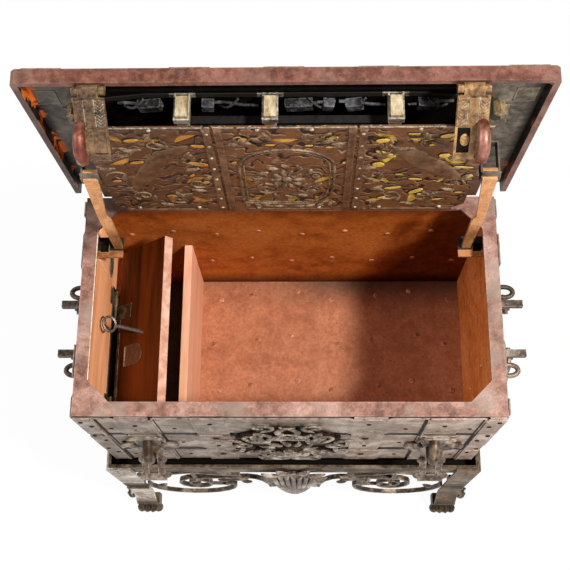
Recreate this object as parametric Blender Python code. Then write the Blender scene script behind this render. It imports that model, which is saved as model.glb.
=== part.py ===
"""War chest on a wrought iron stand, built as separate pieces.

Metres, +Z up, the front faces -Y. The origin is on the floor under the middle of the stand.
The chest stands open as it is shown: the lid is up on its two stays and the till lid is half open.
"""
import math

import bpy
import bmesh
from mathutils import Vector
from mathutils.geometry import tessellate_polygon

for old in list(bpy.data.objects):
    bpy.data.objects.remove(old, do_unlink=True)

# Main sizes of the chest
CHEST_W = 0.720
CHEST_D = 0.392
CHEST_H = 0.448
STAND_H = 0.422
WALL = 0.004
RIM_W = 0.024
RIM_T = 0.006
GUSSET = 0.036
GAP = 0.0003
HW = CHEST_W / 2
HD = CHEST_D / 2
Z_BOT = STAND_H
Z_RIM = STAND_H + CHEST_H

# Straps on the walls and the lid
BAND_T = 0.0025
BAND_RAMP = 0.008
BAND_BITE = 0.0003
ROW_TOPS = (0.012, 0.155, 0.305)
ROW_H = 0.121

# Lid and its hinge, given as if the lid were shut
LID_SIDE = 0.017
LID_FRONT = 0.018
LID_BACK_OVER = 0.002
LID_T = 0.004
LIP_D = 0.018
LIP_T = 0.010
LID_REST = 0.0005
OPEN_DEG = 87.1
AXIS_BACK = 0.020
HINGE_X = 0.235
HINGE_LEAF = 0.026
HINGE_R = 0.0063
HINGE_T = 0.003
PIN_R = 0.0042

# Lock under the lid, depths measured down from the underside of the shut lid
LOCK_SIDE = 0.065
LOCK_HW = HW - LOCK_SIDE
LOCK_REAR = 0.049
LOCK_FRONT = 0.374
LOCK_CHAMFER = 0.036
COVER_CHAMFER = 0.030
COVER_LAP = 0.012
CASE_HW = 0.060
CASE_BACK = 0.101
CASE_LEN = 0.130
COVER_O = 0.0585
COVER_T = 0.002
BACK_O1 = COVER_O - COVER_T - GAP
BACK_O0 = BACK_O1 - 0.0015
SEAM_X = 0.104
BOLT_W = 0.017
BOLT_O0 = 0.009
BOLT_O1 = 0.041
BOLT_LEN = 0.060
BOLT_REST_U = 0.372
BOLT_X = (-0.147, -0.021, 0.158)
CORNER_BOLT_X = LOCK_HW + 0.004
CORNER_BOLT_U = 0.341
CORNER_BOLT_LEN = 0.034

# Hasps on the front edge of the lid
HASP_X = {-1: HW - 0.092, 1: HW - 0.1015}
HASP_W = 0.045
HASP_LEN = 0.104
HASP_T = 0.003
HASP_PIN_O = 0.0265
HASP_LEAN_DEG = 40.0

# Stays that hold the lid up
STAY_X = {-1: LOCK_HW + 0.0175, 1: LOCK_HW + 0.024}
STAY_W = 0.024
STAY_T = 0.006
STAY_U = 0.184
STAY_O = 0.053
STAY_FOOT_Y = HD - 0.082
STAY_FOOT_DROP = 0.0305
SEAT_GAP = 0.0025
SEAT_CLEAR = 0.0018

# Till inside the left end
TILL_TOP = 0.222
TILL_BOARD = 0.0137
TILL_WALL_X = 0.197
TILL_WALL_T = 0.015
TILL_LID_T = 0.018
TILL_OPEN_DEG = 44.5
TILL_KEY_S = 0.084
TILL_KEY_Y = -0.010
KEY_LEN = 0.088

# Drop handles on the ends
HANDLE_DROP = 0.172
HANDLE_OUT = 0.040
HANDLE_STAPLE_Y = 0.0475
HANDLE_HALF = 0.0705
HANDLE_R = 0.0055
HANDLE_H = 0.082
HANDLE_BAR = 0.070
HANDLE_BAR_W = 0.014

# Stand
FRAME_SIDE_OUT = 0.015
FRAME_FRONT_OUT = 0.022
FRAME_T = 0.006
FRAME_LIP = 0.038
FRAME_SKIRT = 0.028
FRAME_SEAT = 0.045
LEG_W = 0.048
LEG_T = 0.005
PAW_REACH = 0.042
PAW_W = 0.054
PAW_H = 0.040
SCROLL_T = 0.005
SCROLL_D = 0.010
SCROLL_LONG = 0.082
SCROLL_SHORT = 0.060

FX = HW + FRAME_SIDE_OUT
FY = HD + FRAME_FRONT_OUT
HINGE_Y = HD + AXIS_BACK
HINGE_Z = Z_RIM
Z_UND = Z_RIM + LID_REST
LID_Y0 = -HD - LID_FRONT
LID_Y1 = HD + LID_BACK_OVER
LID_HW = HW + LID_SIDE


class Body:
    """Collects the closed shapes that are joined into one node."""

    def __init__(self):
        self.shapes = []

    def add(self, shape, move=None):
        verts, faces = shape
        points = [Vector(v) for v in verts]
        self.shapes.append(([move(p) for p in points] if move else points, faces))
        return self


def mapper(plane):
    """Turn two plane coordinates and a depth into a point."""
    if plane == "yz":
        return lambda a, b, c: (c, a, b)
    if plane == "xz":
        return lambda a, b, c: (a, c, b)
    return lambda a, b, c: (a, b, c)


def box(x0, x1, y0, y1, z0, z1):
    verts = [(x, y, z) for z in (z0, z1) for y in (y0, y1) for x in (x0, x1)]
    faces = [(0, 2, 3, 1), (4, 5, 7, 6), (0, 1, 5, 4), (2, 6, 7, 3), (0, 4, 6, 2), (1, 3, 7, 5)]
    return verts, faces


def slab(outer, holes, plane, c0, c1):
    """A flat plate with holes, cut from an outline and given a thickness."""
    put = mapper(plane)
    loops = [list(outer)] + [list(h) for h in holes]
    pts = [p for loop in loops for p in loop]
    n = len(pts)
    tris = tessellate_polygon([[Vector((a, b, 0.0)) for a, b in loop] for loop in loops])
    verts = [put(a, b, c0) for a, b in pts] + [put(a, b, c1) for a, b in pts]
    faces = []
    for t in tris:
        faces.append((t[0], t[1], t[2]))
        faces.append((n + t[2], n + t[1], n + t[0]))
    start = 0
    for loop in loops:
        m = len(loop)
        for i in range(m):
            a = start + i
            b = start + (i + 1) % m
            faces.append((a, b, n + b, n + a))
        start += m
    return verts, faces


def ribbon(path, thick, plane, a, b):
    """A bar of even thickness bent along a path; a and b are its two side edges."""
    put = mapper(plane)
    n = len(path)
    left = a if isinstance(a, list) else [a] * n
    right = b if isinstance(b, list) else [b] * n
    verts = []
    for i in range(n):
        here = Vector(path[i])
        back = (here - Vector(path[i - 1])).normalized() if i > 0 else None
        ahead = (Vector(path[i + 1]) - here).normalized() if i < n - 1 else None
        back = back or ahead
        ahead = ahead or back
        mid = (back + ahead).normalized()
        normal = Vector((-mid.y, mid.x))
        half = thick / 2 / max(mid.dot(ahead), 0.6)
        one = here + normal * half
        two = here - normal * half
        verts.append(put(one.x, one.y, left[i]))
        verts.append(put(two.x, two.y, left[i]))
        verts.append(put(two.x, two.y, right[i]))
        verts.append(put(one.x, one.y, right[i]))
    faces = [(0, 1, 2, 3), (4 * n - 1, 4 * n - 2, 4 * n - 3, 4 * n - 4)]
    for i in range(n - 1):
        p = 4 * i
        for k in range(4):
            j = (k + 1) % 4
            faces.append((p + k, p + 4 + k, p + 4 + j, p + j))
    return verts, faces


def slotted(path, thick, columns, holes, plane):
    """A bent strap with openings: columns give the side edges of its cells at every station."""
    put = mapper(plane)
    n = len(path)
    cells = len(columns[0]) - 1
    bars = [ribbon(path, thick, "xy", 0.0, 0.0)[0][4 * i:4 * i + 2] for i in range(n)]
    verts = []
    for i in range(n):
        for point in bars[i]:
            for c in columns[i]:
                verts.append(put(point[0], point[1], c))
    wide = cells + 1

    def at(i, face, k):
        return i * 2 * wide + face * wide + k

    def solid(i, k):
        return 0 <= i < n - 1 and 0 <= k < cells and (i, k) not in holes

    faces = []
    for i in range(n - 1):
        for k in range(cells):
            if not solid(i, k):
                continue
            for f in (0, 1):
                faces.append((at(i, f, k), at(i, f, k + 1), at(i + 1, f, k + 1), at(i + 1, f, k)))
            if not solid(i, k - 1):
                faces.append((at(i, 0, k), at(i + 1, 0, k), at(i + 1, 1, k), at(i, 1, k)))
            if not solid(i, k + 1):
                faces.append((at(i, 0, k + 1), at(i + 1, 0, k + 1), at(i + 1, 1, k + 1), at(i, 1, k + 1)))
            if not solid(i - 1, k):
                faces.append((at(i, 0, k), at(i, 0, k + 1), at(i, 1, k + 1), at(i, 1, k)))
            if not solid(i + 1, k):
                faces.append((at(i + 1, 0, k), at(i + 1, 0, k + 1), at(i + 1, 1, k + 1), at(i + 1, 1, k)))
    return verts, faces


def tube(path, radius, sides):
    """A round bar along a path in space."""
    pts = [Vector(p) for p in path]
    n = len(pts)
    tangents = []
    for i in range(n):
        tangents.append((pts[min(i + 1, n - 1)] - pts[max(i - 1, 0)]).normalized())
    helper = Vector((0, 0, 1)) if abs(tangents[0].z) < 0.8 else Vector((1, 0, 0))
    side = tangents[0].cross(helper).normalized()
    verts = []
    for i in range(n):
        side = (side - tangents[i] * side.dot(tangents[i])).normalized()
        up = tangents[i].cross(side)
        for k in range(sides):
            w = 2 * math.pi * k / sides
            verts.append(pts[i] + radius * (math.cos(w) * side + math.sin(w) * up))
    faces = [tuple(range(sides)), tuple(range(n * sides - 1, (n - 1) * sides - 1, -1))]
    for i in range(n - 1):
        for k in range(sides):
            j = (k + 1) % sides
            p = i * sides
            faces.append((p + k, p + sides + k, p + sides + j, p + j))
    return verts, faces


def rod(p0, p1, radius, sides=10):
    return tube([p0, p1], radius, sides)


def dome(center, normal, radius, height, sides=8):
    """The head of a rivet or boss, standing on a face."""
    n = Vector(normal).normalized()
    helper = Vector((0, 0, 1)) if abs(n.z) < 0.8 else Vector((1, 0, 0))
    u = n.cross(helper).normalized()
    v = n.cross(u)
    c = Vector(center)
    verts = []
    for r, h in ((radius, 0.0), (radius * 0.72, height * 0.72)):
        for k in range(sides):
            w = 2 * math.pi * k / sides
            verts.append(c + n * h + r * (math.cos(w) * u + math.sin(w) * v))
    verts.append(c + n * height)
    faces = [tuple(range(sides))]
    for k in range(sides):
        j = (k + 1) % sides
        faces.append((k, j, sides + j, sides + k))
        faces.append((sides + k, sides + j, 2 * sides))
    return verts, faces


def arc(cx, cy, rx, ry, a0, a1, n):
    """Points of an arc from angle a0 to a1 in degrees."""
    pts = []
    for i in range(n + 1):
        w = math.radians(a0 + (a1 - a0) * i / n)
        pts.append((cx + rx * math.cos(w), cy + ry * math.sin(w)))
    return pts


def volute(cx, cy, rx, ry, a0, turn, inner, n):
    """A spiral that winds inward from its outer radius."""
    pts = []
    for i in range(n + 1):
        t = i / n
        w = math.radians(a0 + turn * t)
        f = 1.0 - (1.0 - inner) * t
        pts.append((cx + rx * f * math.cos(w), cy + ry * f * math.sin(w)))
    return pts


def curl(axis, direction, radius, sweep, side, n=10):
    """A strap end curled round a pin, ending where the strap leaves along the direction."""
    d = Vector(direction).normalized()
    p = Vector((d.y, -d.x)) * side
    end = math.degrees(math.atan2(p.y, p.x))
    return arc(axis[0], axis[1], radius, radius, end - side * sweep, end, n)


def leaf(cx, cy, length, width, ang, bend, n=5):
    """A leaf shaped hole with a bent middle line."""
    top = []
    low = []
    for i in range(n + 1):
        t = -1.0 + 2.0 * i / n
        body = width / 2 * (1.0 - t * t)
        mid = bend * (1.0 - t * t)
        top.append((t * length / 2, mid + body))
        if 0 < i < n:
            low.append((t * length / 2, mid - body))
    w = math.radians(ang)
    pts = top + low[::-1]
    return [(cx + a * math.cos(w) - b * math.sin(w), cy + a * math.sin(w) + b * math.cos(w)) for a, b in pts]


MATERIALS = {}
LOOKS = {
    "iron_red": ((0.20, 0.085, 0.065), 0.55, 0.6),
    "iron_grey": ((0.27, 0.235, 0.21), 0.75, 0.5),
    "iron_dark": ((0.06, 0.05, 0.045), 0.7, 0.5),
    "iron_brown": ((0.115, 0.075, 0.05), 0.7, 0.45),
    "steel_bright": ((0.42, 0.38, 0.33), 0.9, 0.35),
    "copper_paint": ((0.42, 0.16, 0.075), 0.1, 0.6),
    "wood_light": ((0.52, 0.25, 0.12), 0.0, 0.55),
    "wood_dark": ((0.11, 0.045, 0.02), 0.0, 0.5),
    "ochre": ((0.55, 0.36, 0.06), 0.0, 0.6),
    "hasp_tan": ((0.28, 0.18, 0.09), 0.6, 0.45),
}


def material(slot):
    if slot not in MATERIALS:
        colour, metal, rough = LOOKS[slot]
        mat = bpy.data.materials.new(slot)
        mat.use_nodes = True
        bsdf = mat.node_tree.nodes["Principled BSDF"]
        bsdf.inputs["Base Color"].default_value = (*colour, 1.0)
        bsdf.inputs["Metallic"].default_value = metal
        bsdf.inputs["Roughness"].default_value = rough
        mat.diffuse_color = (*colour, 1.0)
        MATERIALS[slot] = mat
    return MATERIALS[slot]


def plain_mesh(name, shape, origin):
    verts, faces = shape
    mesh = bpy.data.meshes.new(name)
    mesh.from_pydata([v - origin for v in verts], [], faces)
    bm = bmesh.new()
    bm.from_mesh(mesh)
    bmesh.ops.recalc_face_normals(bm, faces=bm.faces)
    bm.to_mesh(mesh)
    bm.free()
    return mesh


def finish(name, body, slot, origin=(0.0, 0.0, 0.0)):
    """Make the node as one solid, with its origin on its joint where it moves."""
    o = Vector(origin)
    scene = bpy.context.scene.collection
    ob = bpy.data.objects.new(name, plain_mesh(name, body.shapes[0], o))
    scene.objects.link(ob)
    if len(body.shapes) > 1:
        others = bpy.data.collections.new(name + "_joined")
        scene.children.link(others)
        for shape in body.shapes[1:]:
            others.objects.link(bpy.data.objects.new("piece", plain_mesh("piece", shape, o)))
        join = ob.modifiers.new("join", "BOOLEAN")
        join.operation = "UNION"
        join.solver = "EXACT"
        join.operand_type = "COLLECTION"
        join.collection = others
        graph = bpy.context.evaluated_depsgraph_get()
        mesh = bpy.data.meshes.new_from_object(ob.evaluated_get(graph))
        ob.modifiers.clear()
        ob.data = mesh
        for piece in list(others.objects):
            bpy.data.objects.remove(piece, do_unlink=True)
        bpy.data.collections.remove(others)
    ob.data.materials.clear()
    ob.data.materials.append(material(slot))
    ob.location = o
    return ob


OPEN = math.radians(OPEN_DEG)


def opened(p):
    """Carry a point of the shut lid to where it is with the lid open."""
    y = p.y - HINGE_Y
    z = p.z - HINGE_Z
    c = math.cos(-OPEN)
    s = math.sin(-OPEN)
    return Vector((p.x, HINGE_Y + y * c - z * s, HINGE_Z + y * s + z * c))


LID_ORIGIN = (0.0, HINGE_Y, HINGE_Z)


# Stand frame: an angle ring whose ledge carries the chest and whose lip stands round it
frame = Body()
profile = [
    (0.0, Z_BOT - FRAME_SKIRT), (0.0, Z_BOT + FRAME_LIP),
    (FRAME_T, Z_BOT + FRAME_LIP), (FRAME_T, Z_BOT - GAP),
    (FRAME_T + FRAME_SEAT, Z_BOT - GAP), (FRAME_T + FRAME_SEAT, Z_BOT - FRAME_T - GAP),
    (FRAME_T, Z_BOT - FRAME_T - GAP), (FRAME_T, Z_BOT - FRAME_SKIRT),
]
corners = ((-1, -1), (1, -1), (1, 1), (-1, 1))
frame_verts = [(sx * (FX - i), sy * (FY - i), z) for sx, sy in corners for i, z in profile]
frame_faces = []
for c in range(4):
    for k in range(8):
        j = (k + 1) % 8
        d = (c + 1) % 4
        frame_faces.append((c * 8 + k, c * 8 + j, d * 8 + j, d * 8 + k))
frame.add((frame_verts, frame_faces))
finish("stand_frame", frame, "iron_grey")

# Legs: at every corner one strap on the long side and one on the short side, each on a paw
RAIL_BOT = Z_BOT - FRAME_SKIRT
leg_path = [(0.0, Z_BOT + 0.030), (0.0, 0.130), (0.003, 0.104), (0.011, 0.080), (0.017, 0.060)]
leg_path.append((0.018, PAW_H * 0.6))


def leg_strap(sx, sy, long_side):
    if long_side:
        base = FY + GAP + LEG_T / 2
        path = [(sy * (base + d), z) for d, z in leg_path]
        edge = FX + GAP + LEG_T
        ends = sorted((sx * (edge - LEG_W), sx * edge))
        return ribbon(path, LEG_T, "yz", ends[0], ends[1])
    base = FX + GAP + LEG_T / 2
    path = [(sx * (base + d), z) for d, z in leg_path]
    ends = sorted((sy * (FY - LEG_W), sy * (FY + GAP + LEG_T * 0.8)))
    return ribbon(path, LEG_T, "xz", ends[0], ends[1])


def paw(sx, sy, long_side):
    """A lion paw: four toes that spread from the foot of the strap."""
    toes = 4
    stations = 2 * toes + 1
    verts = []
    for i in range(stations):
        t = -1.0 + 2.0 * i / (stations - 1)
        toe = i % 2
        reach = PAW_REACH * (1.0 - 0.10 * t * t) if toe else PAW_REACH * 0.84
        top = PAW_H * (0.62 if toe else 0.50)
        side = 0.5 * PAW_W * t
        shape = [
            (-0.004, 0.0), (reach * 0.90, 0.0), (reach, top * 0.40), (reach * 0.88, top * 0.86),
            (reach * 0.62, top), (0.024, PAW_H), (-0.004, PAW_H),
        ]
        for d, z in shape:
            if long_side:
                mid = FX + GAP + LEG_T - LEG_W / 2
                verts.append((sx * mid + side, sy * (FY + d), z))
            else:
                mid = FY - LEG_W / 2
                verts.append((sx * (FX + d), sy * mid + side * 0.88, z))
    m = 7
    faces = [tuple(range(m)), tuple(range(m * stations - 1, m * (stations - 1) - 1, -1))]
    for i in range(stations - 1):
        for k in range(m):
            j = (k + 1) % m
            p = i * m
            faces.append((p + k, p + m + k, p + m + j, p + j))
    return verts, faces


COLLAR_Z = 0.200
COLLAR_H = 0.016
COLLAR_T = 0.005
BITE = 0.0008
for sx, sy, tag in ((-1, -1, "fl"), (1, -1, "fr"), (-1, 1, "bl"), (1, 1, "br")):
    leg = Body()
    for long_side in (True, False):
        leg.add(leg_strap(sx, sy, long_side))
        leg.add(paw(sx, sy, long_side))
    face_y = FY + GAP + LEG_T - BITE
    face_x = FX + GAP + LEG_T - BITE
    mid_x = FX + GAP + LEG_T - LEG_W / 2
    mid_y = FY - LEG_W / 2
    xs = sorted((sx * (mid_x - LEG_W / 2 - 0.002), sx * (mid_x + LEG_W / 2 - 0.002)))
    ys = sorted((sy * face_y, sy * (face_y + COLLAR_T)))
    leg.add(box(xs[0], xs[1], ys[0], ys[1], COLLAR_Z, COLLAR_Z + COLLAR_H))
    xs = sorted((sx * face_x, sx * (face_x + COLLAR_T)))
    ys = sorted((sy * (mid_y - LEG_W / 2 - 0.002), sy * (mid_y + LEG_W / 2 - 0.002)))
    leg.add(box(xs[0], xs[1], ys[0], ys[1], COLLAR_Z, COLLAR_Z + COLLAR_H))
    for dz in (-0.010, 0.014):
        leg.add(dome((sx * mid_x, sy * face_y, Z_BOT + dz), (0, sy, 0), 0.006, 0.004))
        leg.add(dome((sx * face_x, sy * mid_y, Z_BOT + dz), (sx, 0, 0), 0.006, 0.004))
    finish("leg_" + tag, leg, "iron_grey")


# Scroll work under the rails
SHIELD_HW = 0.050
SHIELD_TOP = 0.010
SHIELD_LOW = 0.110
LEG_IN_X = FX + GAP + LEG_T - LEG_W


def scrolls(body, half, stem, rz, fine, move):
    """Mirrored scroll bars of one side of the stand; half is the span to the leg strap."""
    for s in (-1, 1):
        vx = stem + (half - stem) * 0.575
        vr = (half - stem) * 0.165
        vz = RAIL_BOT - 0.080 - rz
        top = vz + rz
        rise = (half - stem) * 0.18
        bar = arc(stem + rise, vz - rz * 0.6, rise, rz * 1.72, 180.0, 95.0, 4)
        bar += volute(vx, vz, vr, rz, 100.0, -560.0, 0.26, fine)
        body.add(ribbon([(s * a, b) for a, b in bar], SCROLL_T, "xz", -SCROLL_D / 2, SCROLL_D / 2), move)
        cx = half - (half - stem) * 0.365
        rx = half - cx - SCROLL_T / 2 - 0.0006
        low = arc(cx, vz - rz * 0.30, rx, rz * 1.62, 6.0, -176.0, fine * 3 // 5)
        low += volute(cx - rx + vr * 0.30, vz - rz * 0.20, vr * 0.30, vr * 0.42, 176.0, -230.0, 0.5, 4)
        body.add(ribbon([(s * a, b) for a, b in low], SCROLL_T, "xz", -SCROLL_D / 2, SCROLL_D / 2), move)
        hat = RAIL_BOT - SCROLL_T / 2 - GAP - 0.0012
        reach = (half - stem) * 0.36
        wave = [(vx - reach, hat - 0.034), (vx - reach * 0.5, hat - 0.024), (vx - reach * 0.18, hat - 0.006)]
        wave += [(vx, hat), (vx + reach * 0.18, hat - 0.006), (vx + reach * 0.5, hat - 0.024)]
        wave += volute(vx + reach * 0.92, hat - 0.040, reach * 0.17, 0.016, 110.0, -300.0, 0.45, 5)
        body.add(ribbon([(s * a, b) for a, b in wave], SCROLL_T, "xz", -SCROLL_D / 2, SCROLL_D / 2), move)
        thin = SCROLL_D / 2 - 0.0012
        ends = sorted((s * (cx - rx - 0.001), s * (vx - vr * 0.58)))
        body.add(box(ends[0], ends[1], -thin, thin, vz - rz * 0.30, vz - rz * 0.22), move)
        ends = sorted((s * (vx - 0.0045), s * (vx + 0.0035)))
        body.add(box(ends[0], ends[1], -thin, thin, top - 0.003, hat), move)
    link = vz - rz * 0.52
    deep = SCROLL_D / 2 - 0.0003
    body.add(box(-stem - 0.001, stem + 0.001, -deep, deep, link, link + 0.012), move)
    body.add(box(-0.008, 0.008, -thin, thin, link + 0.004, RAIL_BOT - GAP), move)


APRON_Y = FY - FRAME_T / 2
APRON_X = FX - FRAME_T / 2
front_scrolls = Body()
scrolls(front_scrolls, LEG_IN_X, SHIELD_HW + 0.004, SCROLL_LONG, 18, lambda p: Vector((p.x, p.y - APRON_Y, p.z)))
finish("apron_front", front_scrolls, "iron_grey")
back_scrolls = Body()
scrolls(back_scrolls, LEG_IN_X, SHIELD_HW + 0.004, SCROLL_LONG, 18, lambda p: Vector((p.x, APRON_Y - p.y, p.z)))
finish("apron_back", back_scrolls, "iron_grey")
SIDE_HALF = FY - LEG_W
SIDE_STEM = 0.015
for s, tag in ((-1, "left"), (1, "right")):
    turn = (lambda p, s=s: Vector((s * (APRON_X - p.y), s * p.x, p.z)))
    side_scrolls = Body()
    scrolls(side_scrolls, SIDE_HALF, SIDE_STEM, SCROLL_SHORT, 14, turn)
    finish("apron_" + tag, side_scrolls, "iron_grey")


def shell_outline(hw, z0, z1, lobes):
    """A shell with a scalloped edge that hangs from the rail."""
    pts = []
    n = 36
    cz = z1 - (z1 - z0) * 0.42
    for i in range(n):
        w = 2 * math.pi * i / n
        ripple = 1.0 + 0.05 * math.cos(lobes * w)
        up = (z1 - cz) / 1.05
        down = (cz - z0) / 1.05
        x = hw / 1.05 * ripple * math.cos(w) * (1.0 if math.sin(w) > 0 else 1.0 + 0.45 * math.sin(w))
        pts.append((x, cz + ripple * math.sin(w) * (up if math.sin(w) > 0 else down)))
    return pts


shield_y = -APRON_Y - SCROLL_D / 2 - GAP
shield = Body()
shield.add(slab(shell_outline(SHIELD_HW, SHIELD_LOW, Z_BOT + SHIELD_TOP, 12), [], "xz", shield_y - 0.006, shield_y))
finish("apron_shield", shield, "iron_grey")

# Chest walls, floor and rim
WALL_TOP = Z_RIM - RIM_T - GAP
walls = Body().add(box(-HW, HW, -HD, -HD + WALL, Z_BOT, WALL_TOP))
finish("wall_front", walls, "copper_paint")
walls = Body().add(box(-HW, HW, HD - WALL, HD, Z_BOT, WALL_TOP))
finish("wall_back", walls, "copper_paint")
IN_Y = HD - WALL - GAP
IN_X = HW - WALL - GAP
for s, tag in ((-1, "left"), (1, "right")):
    xs = sorted((s * HW, s * (HW - WALL)))
    walls = Body().add(box(xs[0], xs[1], -IN_Y, IN_Y, Z_BOT, WALL_TOP))
    finish("wall_" + tag, walls, "copper_paint")
floor = Body().add(box(-IN_X, IN_X, -IN_Y, IN_Y, Z_BOT, Z_BOT + WALL))
finish("chest_floor", floor, "copper_paint")
FLOOR_TOP = Z_BOT + WALL + GAP


def octagon(hx, hy, cut):
    return [
        (-hx + cut, -hy), (hx - cut, -hy), (hx, -hy + cut), (hx, hy - cut),
        (hx - cut, hy), (-hx + cut, hy), (-hx, hy - cut), (-hx, -hy + cut),
    ]


rim = Body()
rim_outer = [(-HW, -HD), (HW, -HD), (HW, HD), (-HW, HD)]
rim.add(slab(rim_outer, [octagon(HW - RIM_W, HD - RIM_W, GUSSET)], "xy", Z_RIM - RIM_T, Z_RIM))
finish("rim_frame", rim, "iron_red")


# Woven straps on the walls
def weave(body, rows, columns, a_ends, b_ends, move):
    """Interlaced bands on one wall: every second crossing puts the other band on top."""
    low = -GAP - BAND_T / 2
    high = low - BAND_T + BAND_BITE
    slack = 0.001
    for j, (a0, a1) in enumerate(columns):
        path = [(low, b_ends[0])]
        for i in range(len(rows) - 1, -1, -1):
            b0, b1 = rows[i]
            if (i + j) % 2 == 0:
                start = max(b0 - slack - BAND_RAMP, b_ends[0])
                if start <= b_ends[0] + 0.001:
                    path = [(high, b_ends[0])]
                else:
                    path += [(low, start), (high, b0 - slack)]
                stop = min(b1 + slack + BAND_RAMP, b_ends[1])
                if stop >= b_ends[1] - 0.001:
                    path.append((high, b_ends[1]))
                else:
                    path += [(high, b1 + slack), (low, stop)]
        if path[-1][1] < b_ends[1] - 1e-6:
            path.append((low, b_ends[1]))
        body.add(ribbon(path, BAND_T, "yz", a0, a1), move)
    for i, (b0, b1) in enumerate(rows):
        path = [(a_ends[0], low)]
        for j, (a0, a1) in enumerate(columns):
            if (i + j) % 2 == 1:
                if a0 - slack - BAND_RAMP <= a_ends[0] + 0.001:
                    path = [(a_ends[0], high)]
                else:
                    path += [(a0 - slack - BAND_RAMP, low), (a0 - slack, high)]
                if a1 + slack + BAND_RAMP >= a_ends[1] - 0.001:
                    path.append((a_ends[1], high))
                else:
                    path += [(a1 + slack, high), (a1 + slack + BAND_RAMP, low)]
        if path[-1][0] < a_ends[1] - 1e-6:
            path.append((a_ends[1], low))
        body.add(ribbon(path, BAND_T, "xy", b0, b1), move)


LAYER_1 = 2 * GAP + BAND_T
LAYER_2 = GAP + 2 * BAND_T - BAND_BITE
ROWS = [(Z_RIM - t - ROW_H, Z_RIM - t) for t in ROW_TOPS]
COLUMN_FRONT = (HW - 0.015, HW * 0.7292, HW * 0.3778)
BAND_W = 0.056
CORNER_W = 0.027


def column_spans(centers, outer):
    cols = []
    for c in centers:
        w = CORNER_W if c == outer else BAND_W
        cols.append((c - w / 2, c + w / 2))
        cols.append((-c - w / 2, -c + w / 2))
    return sorted(cols)


band_low = Z_BOT + FRAME_LIP + 0.004
on_front = (lambda p: Vector((p.x, p.y - HD, p.z)))
bands = Body()
front_columns = column_spans(COLUMN_FRONT, COLUMN_FRONT[0])
rows_front = [(max(b0, band_low), b1) for b0, b1 in ROWS]
weave(bands, rows_front, front_columns, (-HW, HW), (band_low, Z_RIM - 0.006), on_front)
# bosses where two straps cross
for i, (b0, b1) in enumerate(rows_front):
    for j, (a0, a1) in enumerate(front_columns):
        mid = (a0 + a1) / 2
        if j in (2, 3) or (j in (1, 4) and i == 0):
            up = (b0 + b1) / 2 if i > 0 else (b0 + b1) / 2 - 0.030
            bands.add(dome((mid, -HD - LAYER_2 + BAND_BITE, up), (0, -1, 0), 0.011, 0.0040, 10))
finish("bands_front", bands, "iron_grey")

on_back = (lambda p: Vector((-p.x, HD - p.y, p.z)))
bands = Body()
weave(bands, rows_front[1:], front_columns, (-HW, HW), (band_low, ROWS[1][1] + 0.012), on_back)
finish("bands_back", bands, "iron_grey")

SIDE_COLUMNS = (HD - 0.018, HD * 0.51)
side_columns = column_spans(SIDE_COLUMNS, SIDE_COLUMNS[0])
for s, tag in ((-1, "left"), (1, "right")):
    on_side = (lambda p, s=s: Vector((s * (HW - p.y), s * p.x, p.z)))
    bands = Body()
    weave(bands, rows_front, side_columns, (-HD, HD), (band_low, Z_RIM - 0.006), on_side)
    finish("bands_" + tag, bands, "iron_grey")

# False escutcheon in the middle of the front
ESC_X = -0.004
ESC_Z = Z_RIM - 0.215
ESC_HW = 0.106
ESC_HH = 0.150
outline = []
for i in range(36):
    w = 2 * math.pi * i / 36
    ripple = 1.0 + 0.055 * math.cos(12 * w) - 0.07 * abs(math.cos(2 * w))
    outline.append((ESC_X + ESC_HW * ripple * math.cos(w), ESC_Z + ESC_HH * ripple * math.sin(w)))
holes = []
for i in range(10):
    w = 2 * math.pi * (i + 0.5) / 10
    cx = ESC_X + ESC_HW * 0.62 * math.cos(w)
    cz = ESC_Z + ESC_HH * 0.62 * math.sin(w)
    holes.append(leaf(cx, cz, 0.046, 0.014, math.degrees(w) + 62.0, 0.006))
esc = Body()
ESC_Y = -HD - LAYER_2 - GAP
ESC_T = 0.005
ESC_BOSS = 0.036
ESC_RISE = 0.013
esc.add(slab(outline, holes, "xz", ESC_Y - ESC_T, ESC_Y))
esc.add(dome((ESC_X, ESC_Y - ESC_T + BAND_BITE, ESC_Z), (0, -1, 0), ESC_BOSS, ESC_RISE, 14))
finish("escutcheon", esc, "iron_brown")

# Staples for padlocks, two on the front, each on a base plate with a keeper arch below
STAPLE_DROP = 0.205
STAPLE_R = 0.030
STAPLE_BAR = 0.0085
for s, tag in ((-1, "left"), (1, "right")):
    x = s * COLUMN_FRONT[1]
    z = Z_RIM - STAPLE_DROP
    y = -HD - LAYER_2 - GAP
    plate = Body()
    plate.add(box(x - 0.022, x + 0.022, y - 0.005, y, z - 0.050, z + 0.046))
    ring = arc(y - 0.003, z, STAPLE_R, STAPLE_R, 90.0, 270.0, 12)
    plate.add(tube([(x - s * 0.004, a, b) for a, b in ring], STAPLE_BAR, 10))
    lean = [(y - 0.003, z - 0.045), (y - 0.020, z - 0.060), (y - 0.048, z - 0.092)]
    for side in (-1, 1):
        a = x + side * 0.0150
        plate.add(ribbon(lean, 0.004, "yz", a - 0.0065, a + 0.0065))
    foot = [(y - 0.045, z - 0.0885), (y - 0.056, z - 0.101)]
    plate.add(ribbon(foot, 0.0046, "yz", x - 0.024, x + 0.024))
    finish("staple_" + tag, plate, "iron_grey")

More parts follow.
